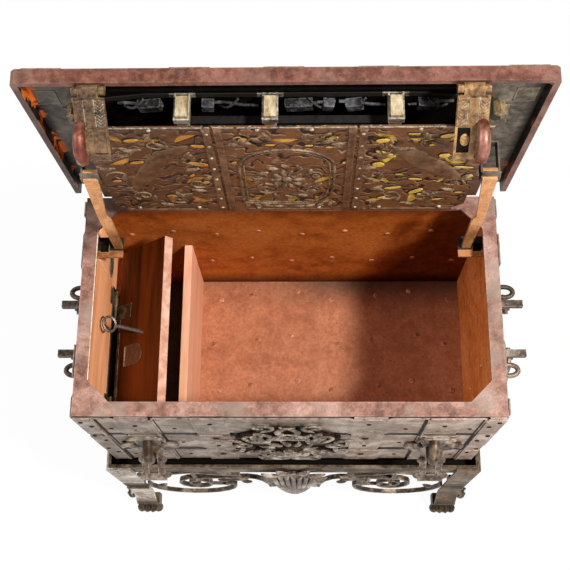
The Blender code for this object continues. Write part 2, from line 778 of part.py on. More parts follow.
# Drop handles on the ends with their staples
HANDLE_Z = Z_RIM - HANDLE_DROP
HANDLE_X = HW + HANDLE_OUT
for s, tag in ((-1, "left"), (1, "right")):
    plate = Body()
    x0 = HW + LAYER_1
    xs = sorted((s * x0, s * (x0 + 0.003)))
    reach = HANDLE_STAPLE_Y + 0.012
    plate.add(box(xs[0], xs[1], -reach, reach, HANDLE_Z - 0.020, HANDLE_Z + 0.020))
    for t in (-1, 1):
        y = t * HANDLE_STAPLE_Y
        r = HANDLE_R + 0.0022
        path = [(s * (x0 + 0.001), HANDLE_Z + r)]
        path += [(s * a, b) for a, b in arc(HANDLE_X, HANDLE_Z, r, r, 90.0, -90.0, 8)]
        path.append((s * (x0 + 0.001), HANDLE_Z - r))
        plate.add(ribbon(path, 0.003, "xz", y - 0.007, y + 0.007))
        bar_x = sorted((s * (x0 + 0.001), s * (HW + HANDLE_BAR)))
        wide = HANDLE_BAR_W / 2 - BAND_BITE
        low = HANDLE_Z + r + 0.0005
        plate.add(box(bar_x[0], bar_x[1], y - wide, y + wide, low, low + HANDLE_BAR_W * 0.8))
    finish("handle_plate_" + tag, plate, "iron_grey")
for s, tag in ((-1, "left"), (1, "right")):
    half = HANDLE_HALF
    bend = 0.016
    flat = [(HANDLE_STAPLE_Y - 0.014, 0.0), (HANDLE_STAPLE_Y + 0.006, 0.0)]
    flat += arc(half - bend, -bend, bend, bend, 90.0, 0.0, 3)
    flat += arc(half - bend, -HANDLE_H + bend, bend, bend, 0.0, -90.0, 3)
    other = [(-a, b) for a, b in flat][::-1]
    path = [(s * HANDLE_X, a, HANDLE_Z + b) for a, b in flat + other]
    bail = Body().add(tube(path, HANDLE_R, 7))
    finish("handle_" + tag, bail, "iron_dark", (s * HANDLE_X, 0.0, HANDLE_Z))

# Hinges at the back: leaf on the chest, pin, and the leaf that rides on the lid
leaf_t = HINGE_T
for s, tag in ((-1, "left"), (1, "right")):
    x = s * HINGE_X
    axis = (HINGE_Y, HINGE_Z)
    path = curl(axis, (0, -1), HINGE_R, 285.0, 1)
    path += [(HINGE_Y - HINGE_R, HINGE_Z - 0.014), (HD + GAP + leaf_t / 2, HINGE_Z - 0.032)]
    path.append((HD + GAP + leaf_t / 2, HINGE_Z - 0.135))
    chest_leaf = Body().add(ribbon(path, leaf_t, "yz", x - HINGE_LEAF, x - 0.0004))
    hold = HINGE_R - leaf_t / 2 + BAND_BITE
    ends = (x - HINGE_LEAF - 0.002, x - 0.0010, x + HINGE_LEAF + 0.002)
    chest_leaf.add(rod((ends[0], HINGE_Y, HINGE_Z), (ends[1], HINGE_Y, HINGE_Z), hold, 12))
    chest_leaf.add(rod((ends[1] - 0.003, HINGE_Y, HINGE_Z), (ends[2], HINGE_Y, HINGE_Z), PIN_R))
    finish("hinge_leaf_chest_" + tag, chest_leaf, "iron_grey")
    top = Z_UND + LID_T + GAP + leaf_t / 2
    r = top - HINGE_Z
    path = curl(axis, (-1, 0), r, 285.0, 1)
    path += [(HINGE_Y - 0.05, top), (0.02, top)]
    lid_leaf = Body().add(ribbon(path, leaf_t, "yz", x + 0.0004, x + HINGE_LEAF), opened)
    finish("hinge_leaf_lid_" + tag, lid_leaf, "iron_grey", LID_ORIGIN)

# Lid: a shallow tray with a lip on three sides
A = LID_HW
a = LID_HW - LIP_T
y0 = LID_Y0
yi = LID_Y0 + LIP_T
y1 = LID_Y1
z0 = Z_UND - LIP_D
z1 = Z_UND
z2 = Z_UND + LID_T
CUT = 0.006
outer = [(-A, y1), (-A, y0 + CUT), (-A + CUT, y0), (A - CUT, y0), (A, y0 + CUT), (A, y1)]
inner = [(-a, y1), (-a, yi + CUT), (-a + CUT, yi), (a - CUT, yi), (a, yi + CUT), (a, y1)]
n = 6
lid_verts = [(x, y, z) for z in (z0, z2) for x, y in outer] + [(x, y, z) for z in (z0, z1) for x, y in inner]
lid_faces = [tuple(range(n, 2 * n)), tuple(range(3 * n, 4 * n))]
for i in range(n - 1):
    lid_faces.append((i, i + 1, n + i + 1, n + i))
    lid_faces.append((2 * n + i, 2 * n + i + 1, 3 * n + i + 1, 3 * n + i))
    lid_faces.append((i, i + 1, 2 * n + i + 1, 2 * n + i))
lid_faces.append((0, n, 2 * n - 1, n - 1, 3 * n - 1, 4 * n - 1, 3 * n, 2 * n))
lid = Body().add((lid_verts, lid_faces), opened)
finish("lid_plate", lid, "iron_red", LID_ORIGIN)

on_lid = (lambda p: opened(Vector((p.x, p.z, z2 - p.y))))
bands = Body()
lid_rows = [(-0.060, -0.010), (-0.200, -0.150)]
lid_columns = column_spans((0.335, 0.130), 9.0) + [(-BAND_W / 2, BAND_W / 2)]
weave(bands, lid_rows, sorted(lid_columns), (-A + 0.004, A - 0.004), (y0 + 0.003, y1 - 0.003), on_lid)
finish("lid_bands", bands, "iron_grey", LID_ORIGIN)


def lid_y(u):
    return HINGE_Y - u


def lid_z(o):
    return Z_UND - o


# Lock under the lid: a frame, a backing sheet and three pierced covers
LY0 = lid_y(LOCK_FRONT)
LY1 = lid_y(LOCK_REAR)
FRAME_BACK = 0.063
wall_x = LOCK_HW - 0.005
cut = LOCK_CHAMFER - 0.004
rear = LY1 - 0.006
plan = [(-wall_x, LY0 + FRAME_BACK), (-wall_x, rear - cut), (-wall_x + cut, rear)]
plan += [(-p[0], p[1]) for p in plan[::-1]]
lock_frame = Body().add(ribbon(plan, 0.003, "xy", lid_z(BACK_O0 - GAP), lid_z(GAP)), opened)
finish("lock_frame", lock_frame, "iron_dark", LID_ORIGIN)


def chamfered(x0, x1, ya, yb, cut_left, cut_right):
    pts = [(x0, ya), (x1, ya)]
    pts += [(x1, yb - cut_right), (x1 - cut_right, yb)] if cut_right else [(x1, yb)]
    pts += [(x0 + cut_left, yb), (x0, yb - cut_left)] if cut_left else [(x0, yb)]
    return pts


backing = Body()
back_plan = chamfered(-LOCK_HW + 0.003, LOCK_HW - 0.003, LY0 + 0.012, LY1 - 0.003, LOCK_CHAMFER, LOCK_CHAMFER)
backing.add(slab(back_plan, [], "xy", lid_z(BACK_O1), lid_z(BACK_O0)), opened)
finish("lock_backing", backing, "ochre", LID_ORIGIN)


def piercing(x0, x1, ya, yb, skip):
    """Rows of leaf shaped openings, turned in pairs like foliage."""
    holes = []
    rows = 4
    cols = 3
    mid = (x0 + x1) / 2
    for i in range(rows):
        for j in range(cols):
            if (i, j) in skip:
                continue
            cx = mid + (j - 1) * (x1 - x0) * 0.30
            cy = ya + (yb - ya) * (0.13 + 0.245 * i)
            turn = (j - 1) * 38.0 * (1 if i % 2 else -1) + (90.0 if j == 1 and i % 2 else 0.0)
            holes.append(leaf(cx, cy, 0.050, 0.017, turn, 0.007 if (i + j) % 2 else -0.007))
    return holes


c0 = lid_z(COVER_O)
c1 = lid_z(COVER_O - COVER_T)
panels = (
    ("cover_left", -LOCK_HW, -SEAM_X - GAP, COVER_CHAMFER, 0.0, ((3, 0), (1, 1), (2, 1))),
    ("cover_centre", -SEAM_X + GAP, SEAM_X - GAP, 0.0, 0.0, ((1, 1), (2, 1), (1, 0), (1, 2))),
    ("cover_right", SEAM_X + GAP, LOCK_HW, 0.0, COVER_CHAMFER, ((3, 2), (1, 1), (2, 1))),
)
for name, x0, x1, cl, cr, skip in panels:
    panel = Body()
    panel_plan = chamfered(x0, x1, LY0, LY1 + COVER_LAP, cl, cr)
    panel.add(slab(panel_plan, piercing(x0, x1, LY0, LY1, skip), "xy", c0, c1), opened)
    finish(name, panel, "iron_brown", LID_ORIGIN)

# Bolts that shoot forward, and one across each front corner, with their guides
front_bolts = Body()
guides = Body()
tip = lid_y(BOLT_REST_U)
GUIDE_GAP = 0.0005
GUIDE_T = 0.0025


def u_guide(half, deep):
    side = half + GUIDE_GAP + GUIDE_T / 2
    floor_o = deep + GUIDE_GAP + GUIDE_T / 2
    return [(-side, lid_z(0.001)), (-side, lid_z(floor_o)), (side, lid_z(floor_o)), (side, lid_z(0.001))]


for x in BOLT_X:
    x0 = x - BOLT_W / 2
    x1 = x + BOLT_W / 2
    front_bolts.add(box(x0, x1, tip, tip + BOLT_LEN, lid_z(BOLT_O1), lid_z(BOLT_O0)), opened)
    shape = [(x + p, z) for p, z in u_guide(BOLT_W / 2, BOLT_O1)]
    guides.add(ribbon(shape, GUIDE_T, "xz", tip + 0.006, tip + 0.018), opened)
bar_ends = (BOLT_X[0] - 0.006, BOLT_X[-1] + 0.006)
bar_y = tip + BOLT_LEN - 0.013
front_bolts.add(box(bar_ends[0], bar_ends[1], bar_y, bar_y + 0.011, lid_z(0.030), lid_z(0.018)), opened)
strip = [(CORNER_BOLT_X, lid_y(CORNER_BOLT_U)), (CORNER_BOLT_X - 0.099, tip + 0.012)]
strip = [(-a, b) for a, b in strip] + strip[::-1]
guides.add(ribbon(strip, 0.010, "xy", lid_z(0.0030), lid_z(GAP)), opened)
BOLT_MID = opened(Vector((0.0, tip, lid_z((BOLT_O0 + BOLT_O1) / 2))))
finish("bolts_front", front_bolts, "steel_bright", tuple(BOLT_MID))
for s, tag in ((-1, "left"), (1, "right")):
    mid = Vector((s * CORNER_BOLT_X, lid_y(CORNER_BOLT_U), 0.0))
    along = Vector((s * math.sqrt(0.5), -math.sqrt(0.5), 0.0))
    across = Vector((along.y, -along.x, 0.0))
    half_l = CORNER_BOLT_LEN / 2
    half_w = 0.006

    def turned(p, mid=mid, along=along, across=across):
        return opened(mid + across * p.x + along * p.y + Vector((0.0, 0.0, p.z)))

    bolt = Body().add(box(-half_w, half_w, -half_l, half_l, lid_z(BOLT_O1 - 0.012), lid_z(BOLT_O0)), turned)
    place = opened(mid + Vector((0.0, 0.0, lid_z(BOLT_O0 + 0.010))))
    finish("bolt_corner_" + tag, bolt, "steel_bright", tuple(place))
    guides.add(ribbon(u_guide(half_w, BOLT_O1 - 0.012), GUIDE_T, "xz", -0.005, 0.005), turned)
finish("bolt_guides", guides, "steel_bright", LID_ORIGIN)

# Lock case that drives the bolts
CASE_Y = LY0 + CASE_BACK
case = Body().add(box(-CASE_HW, CASE_HW, CASE_Y, CASE_Y + CASE_LEN, lid_z(0.0500), lid_z(GAP)), opened)
finish("lock_case", case, "iron_dark", LID_ORIGIN)

# Hasps with their pins, eyes and half rings
HASP_Y = LID_Y0 + LIP_T / 2
HASP_Z = lid_z(HASP_PIN_O)
EYE_T = 0.002
HASP_R = 0.0062
SLOT_0 = 0.055
SLOT_1 = 0.094
HASP_RING = 0.026
HASP_RING_BAR = 0.0075
for s, tag in ((-1, "left"), (1, "right")):
    x = s * HASP_X[s]
    eye_y = LID_Y0 + LIP_T + GAP + EYE_T / 2
    r = eye_y - HASP_Y
    eyes = Body()
    ends = (x - HASP_W / 2, x + HASP_W / 2)
    eyes.add(rod((ends[0], HASP_Y, HASP_Z), (ends[1], HASP_Y, HASP_Z), 0.0042), opened)
    for e in (-1, 1):
        path = curl((HASP_Y, HASP_Z), (0, 1), r, 175.0, 1, 8)
        path += [(eye_y, HASP_Z + 0.010), (eye_y, Z_UND - GAP)]
        xe = x + e * (HASP_W / 2 - 0.004)
        eyes.add(ribbon(path, EYE_T, "yz", xe - 0.004, xe + 0.004), opened)
        hold = r - EYE_T / 2 + BAND_BITE
        eyes.add(rod((xe - 0.0035, HASP_Y, HASP_Z), (xe + 0.0035, HASP_Y, HASP_Z), hold, 10), opened)
    finish("hasp_hinge_" + tag, eyes, "iron_red", LID_ORIGIN)
    lean = math.radians(HASP_LEAN_DEG)
    d = Vector((math.cos(lean), -math.sin(lean)))
    out = Vector((d.y, -d.x))
    root = Vector((HASP_Y, HASP_Z)) + out * HASP_R
    roll = curl((HASP_Y, HASP_Z), d, HASP_R, 280.0, 1)
    path = list(roll)
    knuckle = HASP_W / 2 - 0.0085
    slot = sorted((-s * 0.019, -s * 0.001))
    cols = [[x - knuckle, x + slot[0] * 0.5, x + slot[1] * 0.5, x + knuckle]] * (len(roll) + 1)
    for step in (0.0075, 0.0085, SLOT_0, SLOT_1, HASP_LEN):
        path.append(tuple(root + d * step))
    cols = cols + [[x - HASP_W / 2, x + slot[0], x + slot[1], x + HASP_W / 2]] * 4
    strap = Body()
    strap.add(slotted(path, HASP_T, cols, {(len(path) - 3, 1)}, "yz"), opened)

    def on_hasp(p, x=x, root=root, d=d, out=out):
        q = root + d * p.y + out * p.z
        return opened(Vector((x + p.x, q.x, q.y)))

    ring = arc((SLOT_0 + SLOT_1) / 2, 0.0, HASP_RING, HASP_RING, 0.0, 180.0, 10)
    ring_x = s * (HASP_W / 2 - HASP_RING_BAR)
    strap.add(tube([(ring_x, a, b) for a, b in ring], HASP_RING_BAR, 8), on_hasp)
    finish("hasp_" + tag, strap, "hasp_tan", tuple(opened(Vector((x, HASP_Y, HASP_Z)))))

# Stays: a bracket with a pin under the lid, the stay itself, and the seat that it stands on
PIVOT_SHUT = Vector((0.0, lid_y(STAY_U), lid_z(STAY_O)))
PIVOT = opened(PIVOT_SHUT)
STAY_PIN_R = 0.0040
STAY_R = 0.0075
FOOT = Vector((STAY_FOOT_Y, Z_RIM - STAY_FOOT_DROP))
for s, tag in ((-1, "left"), (1, "right")):
    brackets = Body()
    half = STAY_W / 2 + 0.0007 + 0.00125
    mid = s * STAY_X[s]
    u_shape = [(mid - half, lid_z(STAY_O + 0.010)), (mid - half, lid_z(GAP + 0.00125))]
    u_shape += [(mid + half, lid_z(GAP + 0.00125)), (mid + half, lid_z(STAY_O + 0.010))]
    brackets.add(ribbon(u_shape, 0.0025, "xz", PIVOT_SHUT.y - 0.010, PIVOT_SHUT.y + 0.010), opened)
    inside = STAY_W / 2 + 0.0027
    pin = ((mid - inside, PIVOT_SHUT.y, PIVOT_SHUT.z), (mid + inside, PIVOT_SHUT.y, PIVOT_SHUT.z))
    brackets.add(rod(pin[0], pin[1], STAY_PIN_R), opened)
    finish("stay_bracket_" + tag, brackets, "steel_bright", LID_ORIGIN)
    axis = (PIVOT.y, PIVOT.z)
    aim = FOOT - Vector(axis)
    reach = math.sqrt(aim.length_squared - STAY_R * STAY_R)
    ang = math.atan2(aim.y, aim.x) + math.asin(STAY_R / aim.length)
    d = Vector((math.cos(ang), math.sin(ang)))
    start = Vector(axis) + Vector((d.y, -d.x)) * STAY_R
    roll = curl(axis, d, STAY_R, 285.0, 1)
    path = list(roll)
    edges = (STAY_X[s] - STAY_W / 2, STAY_X[s] + STAY_W / 2)
    inner = [edges[0]] * len(roll)
    outer_x = [edges[1]] * len(roll)
    for f, lo, hi in ((0.52, 0.007, 0.003), (0.58, 0.001, 0.004), (0.80, -0.002, 0.009), (1.0, -0.004, 0.013)):
        path.append(tuple(start + d * reach * f))
        inner.append(edges[0] + lo)
        outer_x.append(edges[1] - hi)
    if s > 0:
        shape = ribbon(path, STAY_T, "yz", inner, outer_x)
    else:
        shape = ribbon(path, STAY_T, "yz", [-v for v in outer_x], [-v for v in inner])
    finish("stay_" + tag, Body().add(shape), "wood_light", (s * STAY_X[s], PIVOT.y, PIVOT.z))

SEAT_TOP = Z_RIM - STAY_FOOT_DROP - STAY_T / 2 * 0.3 - SEAT_GAP
for s, tag in ((-1, "left"), (1, "right")):
    xs = sorted((s * IN_X, s * (LOCK_HW + SEAT_CLEAR)))
    seat_plan = [(xs[0], STAY_FOOT_Y - 0.018), (xs[1], STAY_FOOT_Y - 0.018)]
    seat_plan += [(xs[1], STAY_FOOT_Y + 0.020), (xs[0], STAY_FOOT_Y + 0.020)]
    hx = sorted((s * (IN_X - 0.018), s * (IN_X - 0.034)))
    notch = [(hx[0], STAY_FOOT_Y - 0.008), (hx[1], STAY_FOOT_Y - 0.008)]
    notch += [(hx[1], STAY_FOOT_Y + 0.008), (hx[0], STAY_FOOT_Y + 0.008)]
    seat = Body().add(slab(seat_plan, [notch], "xy", SEAT_TOP - 0.004, SEAT_TOP))
    finish("stay_seat_" + tag, seat, "iron_red")

# Till: hinge board on the left wall, inner wall with a slot for the catch, and the lid
T_TOP = Z_RIM - TILL_TOP
board = Body()
BOARD_IN = -HW + WALL + GAP + TILL_BOARD
BOARD_BACK = STAY_FOOT_Y - 0.018 - GAP * 3
board.add(box(-IN_X, BOARD_IN, -IN_Y + GAP, BOARD_BACK, FLOOR_TOP, Z_RIM - 0.024))
finish("till_board", board, "wood_light")


till_wall = Body()
till_wall.add(box(-TILL_WALL_X - TILL_WALL_T, -TILL_WALL_X, -IN_Y + GAP, IN_Y - GAP, FLOOR_TOP, T_TOP))
finish("till_wall", till_wall, "wood_light")

TILL_HT = 0.0015
TILL_HR = 0.0035
TILL_LID_TOP = T_TOP + GAP + TILL_LID_T
TILL_AX = BOARD_IN + GAP + TILL_HT / 2 + TILL_HR
TILL_AZ = TILL_LID_TOP + GAP + TILL_HT / 2 + TILL_HR
T_OPEN = math.radians(TILL_OPEN_DEG)


def till_up(p):
    """Carry a point of the shut till lid to where it is half open."""
    x = p.x - TILL_AX
    z = p.z - TILL_AZ
    c = math.cos(T_OPEN)
    s = math.sin(T_OPEN)
    return Vector((TILL_AX + x * c - z * s, p.y, TILL_AZ + x * s + z * c))


TILL_ORIGIN = (TILL_AX, 0.0, TILL_AZ)
TILL_L0 = TILL_AX + 0.0045
TILL_L1 = -TILL_WALL_X
KEY_X = TILL_AX + TILL_KEY_S
KEYHOLE_R = 0.0041
TILL_BACK = HD - 0.031
lid_plan = [(TILL_L0, -IN_Y + 0.002), (TILL_L1, -IN_Y + 0.002), (TILL_L1, TILL_BACK), (TILL_L0, TILL_BACK)]
keyhole = arc(KEY_X, TILL_KEY_Y, KEYHOLE_R, KEYHOLE_R, 0.0, 315.0, 7)
till_lid = Body().add(slab(lid_plan, [keyhole], "xy", T_TOP + GAP, TILL_LID_TOP), till_up)
finish("till_lid", till_lid, "wood_dark", TILL_ORIGIN)
HINGE_SPANS = ((-HD + 0.046, -HD + 0.076), (HD - 0.140, HD - 0.110))
fixed_leaf = Body()
moving_leaf = Body()
axis = (TILL_AX, TILL_AZ)
skin = 0.0002
strip_x = BOARD_IN + GAP
strip_z = TILL_LID_TOP + GAP
fixed_leaf.add(box(strip_x + skin, strip_x + TILL_HT - skin, HINGE_SPANS[0][0] + 0.002, HINGE_SPANS[1][1] - 0.002,
                   TILL_AZ + 0.010, TILL_AZ + 0.016))
moving_leaf.add(box(TILL_AX + 0.008, TILL_AX + 0.014, HINGE_SPANS[0][0] - 0.026, HINGE_SPANS[1][0] - 0.004,
                    strip_z + skin, strip_z + TILL_HT - skin), till_up)
for ya, yb in HINGE_SPANS:
    path = curl(axis, (0, 1), TILL_HR, 260.0, -1, 9)
    path.append((TILL_AX - TILL_HR, TILL_AZ + 0.034))
    fixed_leaf.add(ribbon(path, TILL_HT, "xz", ya, yb))
    hold = TILL_HR - TILL_HT / 2 + skin
    fixed_leaf.add(rod((TILL_AX, ya + 0.001, TILL_AZ), (TILL_AX, yb - 0.001, TILL_AZ), hold, 10))
    fixed_leaf.add(rod((TILL_AX, ya - 0.029, TILL_AZ), (TILL_AX, ya + 0.004, TILL_AZ), 0.0022, 8))
    path = curl(axis, (1, 0), TILL_HR, 260.0, 1, 9)
    path.append((TILL_AX + 0.046, TILL_LID_TOP + GAP + TILL_HT / 2))
    moving_leaf.add(ribbon(path, TILL_HT, "xz", ya - 0.028, ya - 0.0004), till_up)
finish("till_hinge_board", fixed_leaf, "iron_grey")
finish("till_hinge_lid", moving_leaf, "iron_grey", TILL_ORIGIN)
plate = Body()
PLATE_X = KEY_X - 0.018
PLATE_Y = TILL_KEY_Y - 0.038
PLATE_HALF = 0.020
lock_plan = [(PLATE_X - 0.030, PLATE_Y + PLATE_HALF), (PLATE_X - 0.030, PLATE_Y - PLATE_HALF)]
lock_plan += arc(PLATE_X, PLATE_Y, PLATE_HALF, PLATE_HALF, -90.0, 90.0, 12)
plate.add(slab(lock_plan, [], "xy", TILL_LID_TOP + GAP, TILL_LID_TOP + GAP + 0.0016), till_up)
finish("till_lock_plate", plate, "iron_brown", TILL_ORIGIN)

# Till key: stem, collar and ring bow, standing in the keyhole
key = Body()
base_z = TILL_LID_TOP
BOW_R = 0.0135
bow_mid = base_z + KEY_LEN - BOW_R - 0.0025
key.add(rod((KEY_X, TILL_KEY_Y, base_z - 0.012), (KEY_X, TILL_KEY_Y, bow_mid - BOW_R + 0.001), 0.0036, 8), till_up)
bow = [(KEY_X, TILL_KEY_Y + a, b) for a, b in arc(0.0, bow_mid, BOW_R, BOW_R, -90.0, 258.0, 20)]
key.add(tube(bow, 0.0026, 6), till_up)
finish("till_key", key, "steel_bright", tuple(till_up(Vector((KEY_X, TILL_KEY_Y, base_z)))))

print("nodes", len(bpy.data.objects))
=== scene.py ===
# %% [markdown]
# # An iron bound war chest on its stand
# The solids of the chest are loaded first and stay where they are. The lesson then sets the
# camera and the light, gives every part its finish, and adds the small work that makes old
# ironwork look old: rivets, raised ornament, springs, leaves and shells.

# %% Load the chest
import math

import bmesh
import bpy
from mathutils import Matrix, Vector


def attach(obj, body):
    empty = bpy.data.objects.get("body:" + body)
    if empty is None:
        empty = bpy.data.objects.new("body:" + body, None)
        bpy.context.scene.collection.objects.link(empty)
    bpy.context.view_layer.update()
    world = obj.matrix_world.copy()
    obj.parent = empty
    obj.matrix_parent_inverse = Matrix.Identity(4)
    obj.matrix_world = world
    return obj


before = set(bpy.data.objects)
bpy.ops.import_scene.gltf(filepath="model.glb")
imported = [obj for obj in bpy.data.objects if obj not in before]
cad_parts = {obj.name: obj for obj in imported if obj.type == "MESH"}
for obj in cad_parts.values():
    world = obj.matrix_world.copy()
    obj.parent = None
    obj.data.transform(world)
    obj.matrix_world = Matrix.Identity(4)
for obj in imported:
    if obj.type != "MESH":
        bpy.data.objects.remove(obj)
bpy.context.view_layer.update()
scene = bpy.context.scene

# %% [markdown]
# ## Camera
# The photograph looks down into the open chest from above its front, slightly turned and
# tilted. The camera is given its place, its three turns and its focal length directly, so
# that the picture can be compared line by line.

# %% Place the camera
PICTURE = 570.0
SENSOR = 36.0
FOCAL_PX = 1001.7
CAMERA_AT = Vector((0.0343, -0.5261, 2.4956))
PITCH = math.radians(71.01)
YAW = math.radians(-4.282)
ROLL = math.radians(-4.166)

look = Vector((math.sin(YAW) * math.cos(PITCH), math.cos(YAW) * math.cos(PITCH), -math.sin(PITCH)))
level = Vector((math.cos(YAW), -math.sin(YAW), 0.0))
upright = level.cross(look)
side = math.cos(ROLL) * level + math.sin(ROLL) * upright
top = -math.sin(ROLL) * level + math.cos(ROLL) * upright
bpy.ops.object.camera_add(location=CAMERA_AT)
camera = bpy.context.object
camera.name = "camera"
camera.matrix_world = Matrix((
    (side.x, top.x, -look.x, CAMERA_AT.x),
    (side.y, top.y, -look.y, CAMERA_AT.y),
    (side.z, top.z, -look.z, CAMERA_AT.z),
    (0.0, 0.0, 0.0, 1.0),
))
camera.data.sensor_width = SENSOR
camera.data.lens = SENSOR * FOCAL_PX / PICTURE
camera.data.clip_start = 0.05
scene.camera = camera
scene.view_settings.view_transform = "Standard"
print("lens", round(camera.data.lens, 2))

# %% [markdown]
# ## Floor and light
# A pale studio floor and a few large soft lamps. The floor shows itself white to the camera,
# and still takes the shadow of the stand. The lamps stay large so that worn iron gets broad,
# quiet highlights.

# %% Floor, lamps and sky
bpy.ops.mesh.primitive_plane_add(size=240.0, location=(0.0, 0.0, -0.0005))
floor = bpy.context.object
floor.name = "studio_floor"
floor_mat = bpy.data.materials.new("studio_floor")
floor_mat.use_nodes = True
tree = floor_mat.node_tree
floor_bsdf = tree.nodes["Principled BSDF"]
floor_bsdf.inputs["Base Color"].default_value = (0.92, 0.92, 0.92, 1.0)
floor_bsdf.inputs["Roughness"].default_value = 0.9
glow = tree.nodes.new("ShaderNodeEmission")
glow.inputs["Color"].default_value = (1.0, 1.0, 1.0, 1.0)
glow.inputs["Strength"].default_value = 1.0
path = tree.nodes.new("ShaderNodeLightPath")
seen = tree.nodes.new("ShaderNodeMath")
seen.operation = "MULTIPLY"
seen.inputs[1].default_value = 0.95
shown = tree.nodes.new("ShaderNodeMath")
shown.operation = "MAXIMUM"
tree.links.new(path.outputs["Is Camera Ray"], shown.inputs[0])
tree.links.new(path.outputs["Is Glossy Ray"], shown.inputs[1])
through = tree.nodes.new("ShaderNodeMath")
through.operation = "MAXIMUM"
tree.links.new(shown.outputs[0], through.inputs[0])
tree.links.new(path.outputs["Is Transmission Ray"], through.inputs[1])
tree.links.new(through.outputs[0], seen.inputs[0])
blend = tree.nodes.new("ShaderNodeMixShader")
tree.links.new(seen.outputs[0], blend.inputs["Fac"])
tree.links.new(floor_bsdf.outputs["BSDF"], blend.inputs[1])
tree.links.new(glow.outputs["Emission"], blend.inputs[2])
tree.links.new(blend.outputs["Shader"], tree.nodes["Material Output"].inputs["Surface"])
floor.data.materials.append(floor_mat)


def lamp(name, at, aim, size, watts, tint):
    bpy.ops.object.light_add(type="AREA", location=at)
    ob = bpy.context.object
    ob.name = name
    ob.data.size = size
    ob.data.energy = watts
    ob.data.color = tint
    ob.rotation_euler = (Vector(aim) - Vector(at)).to_track_quat("-Z", "Y").to_euler()
    return ob


lamp("key_lamp", (1.90, -0.85, 4.10), (0.0, 0.0, 0.6), 0.45, 215.0, (1.0, 0.97, 0.93))
lamp("fill_lamp", (-2.0, 0.0, 2.3), (0.1, 0.0, 0.7), 0.9, 38.0, (1.0, 0.98, 0.96))
lamp("front_lamp", (0.2, -2.4, 1.0), (0.0, -0.2, 0.6), 1.2, 25.0, (1.0, 0.98, 0.95))
world = bpy.data.worlds.new("studio")
scene.world = world
world.use_nodes = True
world.node_tree.nodes["Background"].inputs["Color"].default_value = (1.0, 0.98, 0.95, 1.0)
world.node_tree.nodes["Background"].inputs["Strength"].default_value = 0.22

# %% [markdown]
# ## Ageing, as shared node groups
# All the iron here has lived the same life: paint in the hollows, metal or pale dust on the
# edges, rust and grime in patches. One node group makes that pattern from the object's own
# coordinates, and each material feeds it its own colours. A second group draws wood grain, and a
# third the furrows and ridges of chased sheet metal.

# %% Helpers for nodes


def linear(hex_colour):
    """A colour as it looks on screen, turned into the linear values that shaders use."""
    parts = [int(hex_colour[i:i + 2], 16) / 255.0 for i in (1, 3, 5)]
    return tuple(c / 12.92 if c <= 0.04045 else ((c + 0.055) / 1.055) ** 2.4 for c in parts) + (1.0,)


def put(nodes, kind, settings=None, values=None):
    made = nodes.new(kind)
    for key, value in (settings or {}).items():
        setattr(made, key, value)
    for key, value in (values or {}).items():
        made.inputs[key].default_value = value
    return made


def math_node(tree, operation, a, b=None):
    made = put(tree.nodes, "ShaderNodeMath", {"operation": operation})
    for slot, value in ((0, a), (1, b)):
        if value is None:
            continue
        if isinstance(value, (int, float)):
            made.inputs[slot].default_value = value
        else:
            tree.links.new(value, made.inputs[slot])
    return made.outputs[0]


def spread(tree, value, low, high, to_low=0.0, to_high=1.0):
    made = put(tree.nodes, "ShaderNodeMapRange", {"clamp": True})
    for name, v in (("From Min", low), ("From Max", high), ("To Min", to_low), ("To Max", to_high)):
        if isinstance(v, (int, float)):
            made.inputs[name].default_value = v
        else:
            tree.links.new(v, made.inputs[name])
    tree.links.new(value, made.inputs["Value"])
    return made.outputs["Result"]


def mix_colour(tree, fac, a, b, how="MIX"):
    made = put(tree.nodes, "ShaderNodeMix", {"data_type": "RGBA", "blend_type": how})
    for slot, value in ((0, fac), (6, a), (7, b)):
        if isinstance(value, (int, float, tuple)):
            made.inputs[slot].default_value = value
        else:
            tree.links.new(value, made.inputs[slot])
    return made.outputs[2]


def noise(tree, vector, scale, detail, rough=0.55):
    made = put(tree.nodes, "ShaderNodeTexNoise", None, {"Detail": detail, "Roughness": rough})
    if isinstance(scale, (int, float)):
        made.inputs["Scale"].default_value = scale
    else:
        tree.links.new(scale, made.inputs["Scale"])
    tree.links.new(vector, made.inputs["Vector"])
    return made.outputs["Fac"]


# %% The ageing group


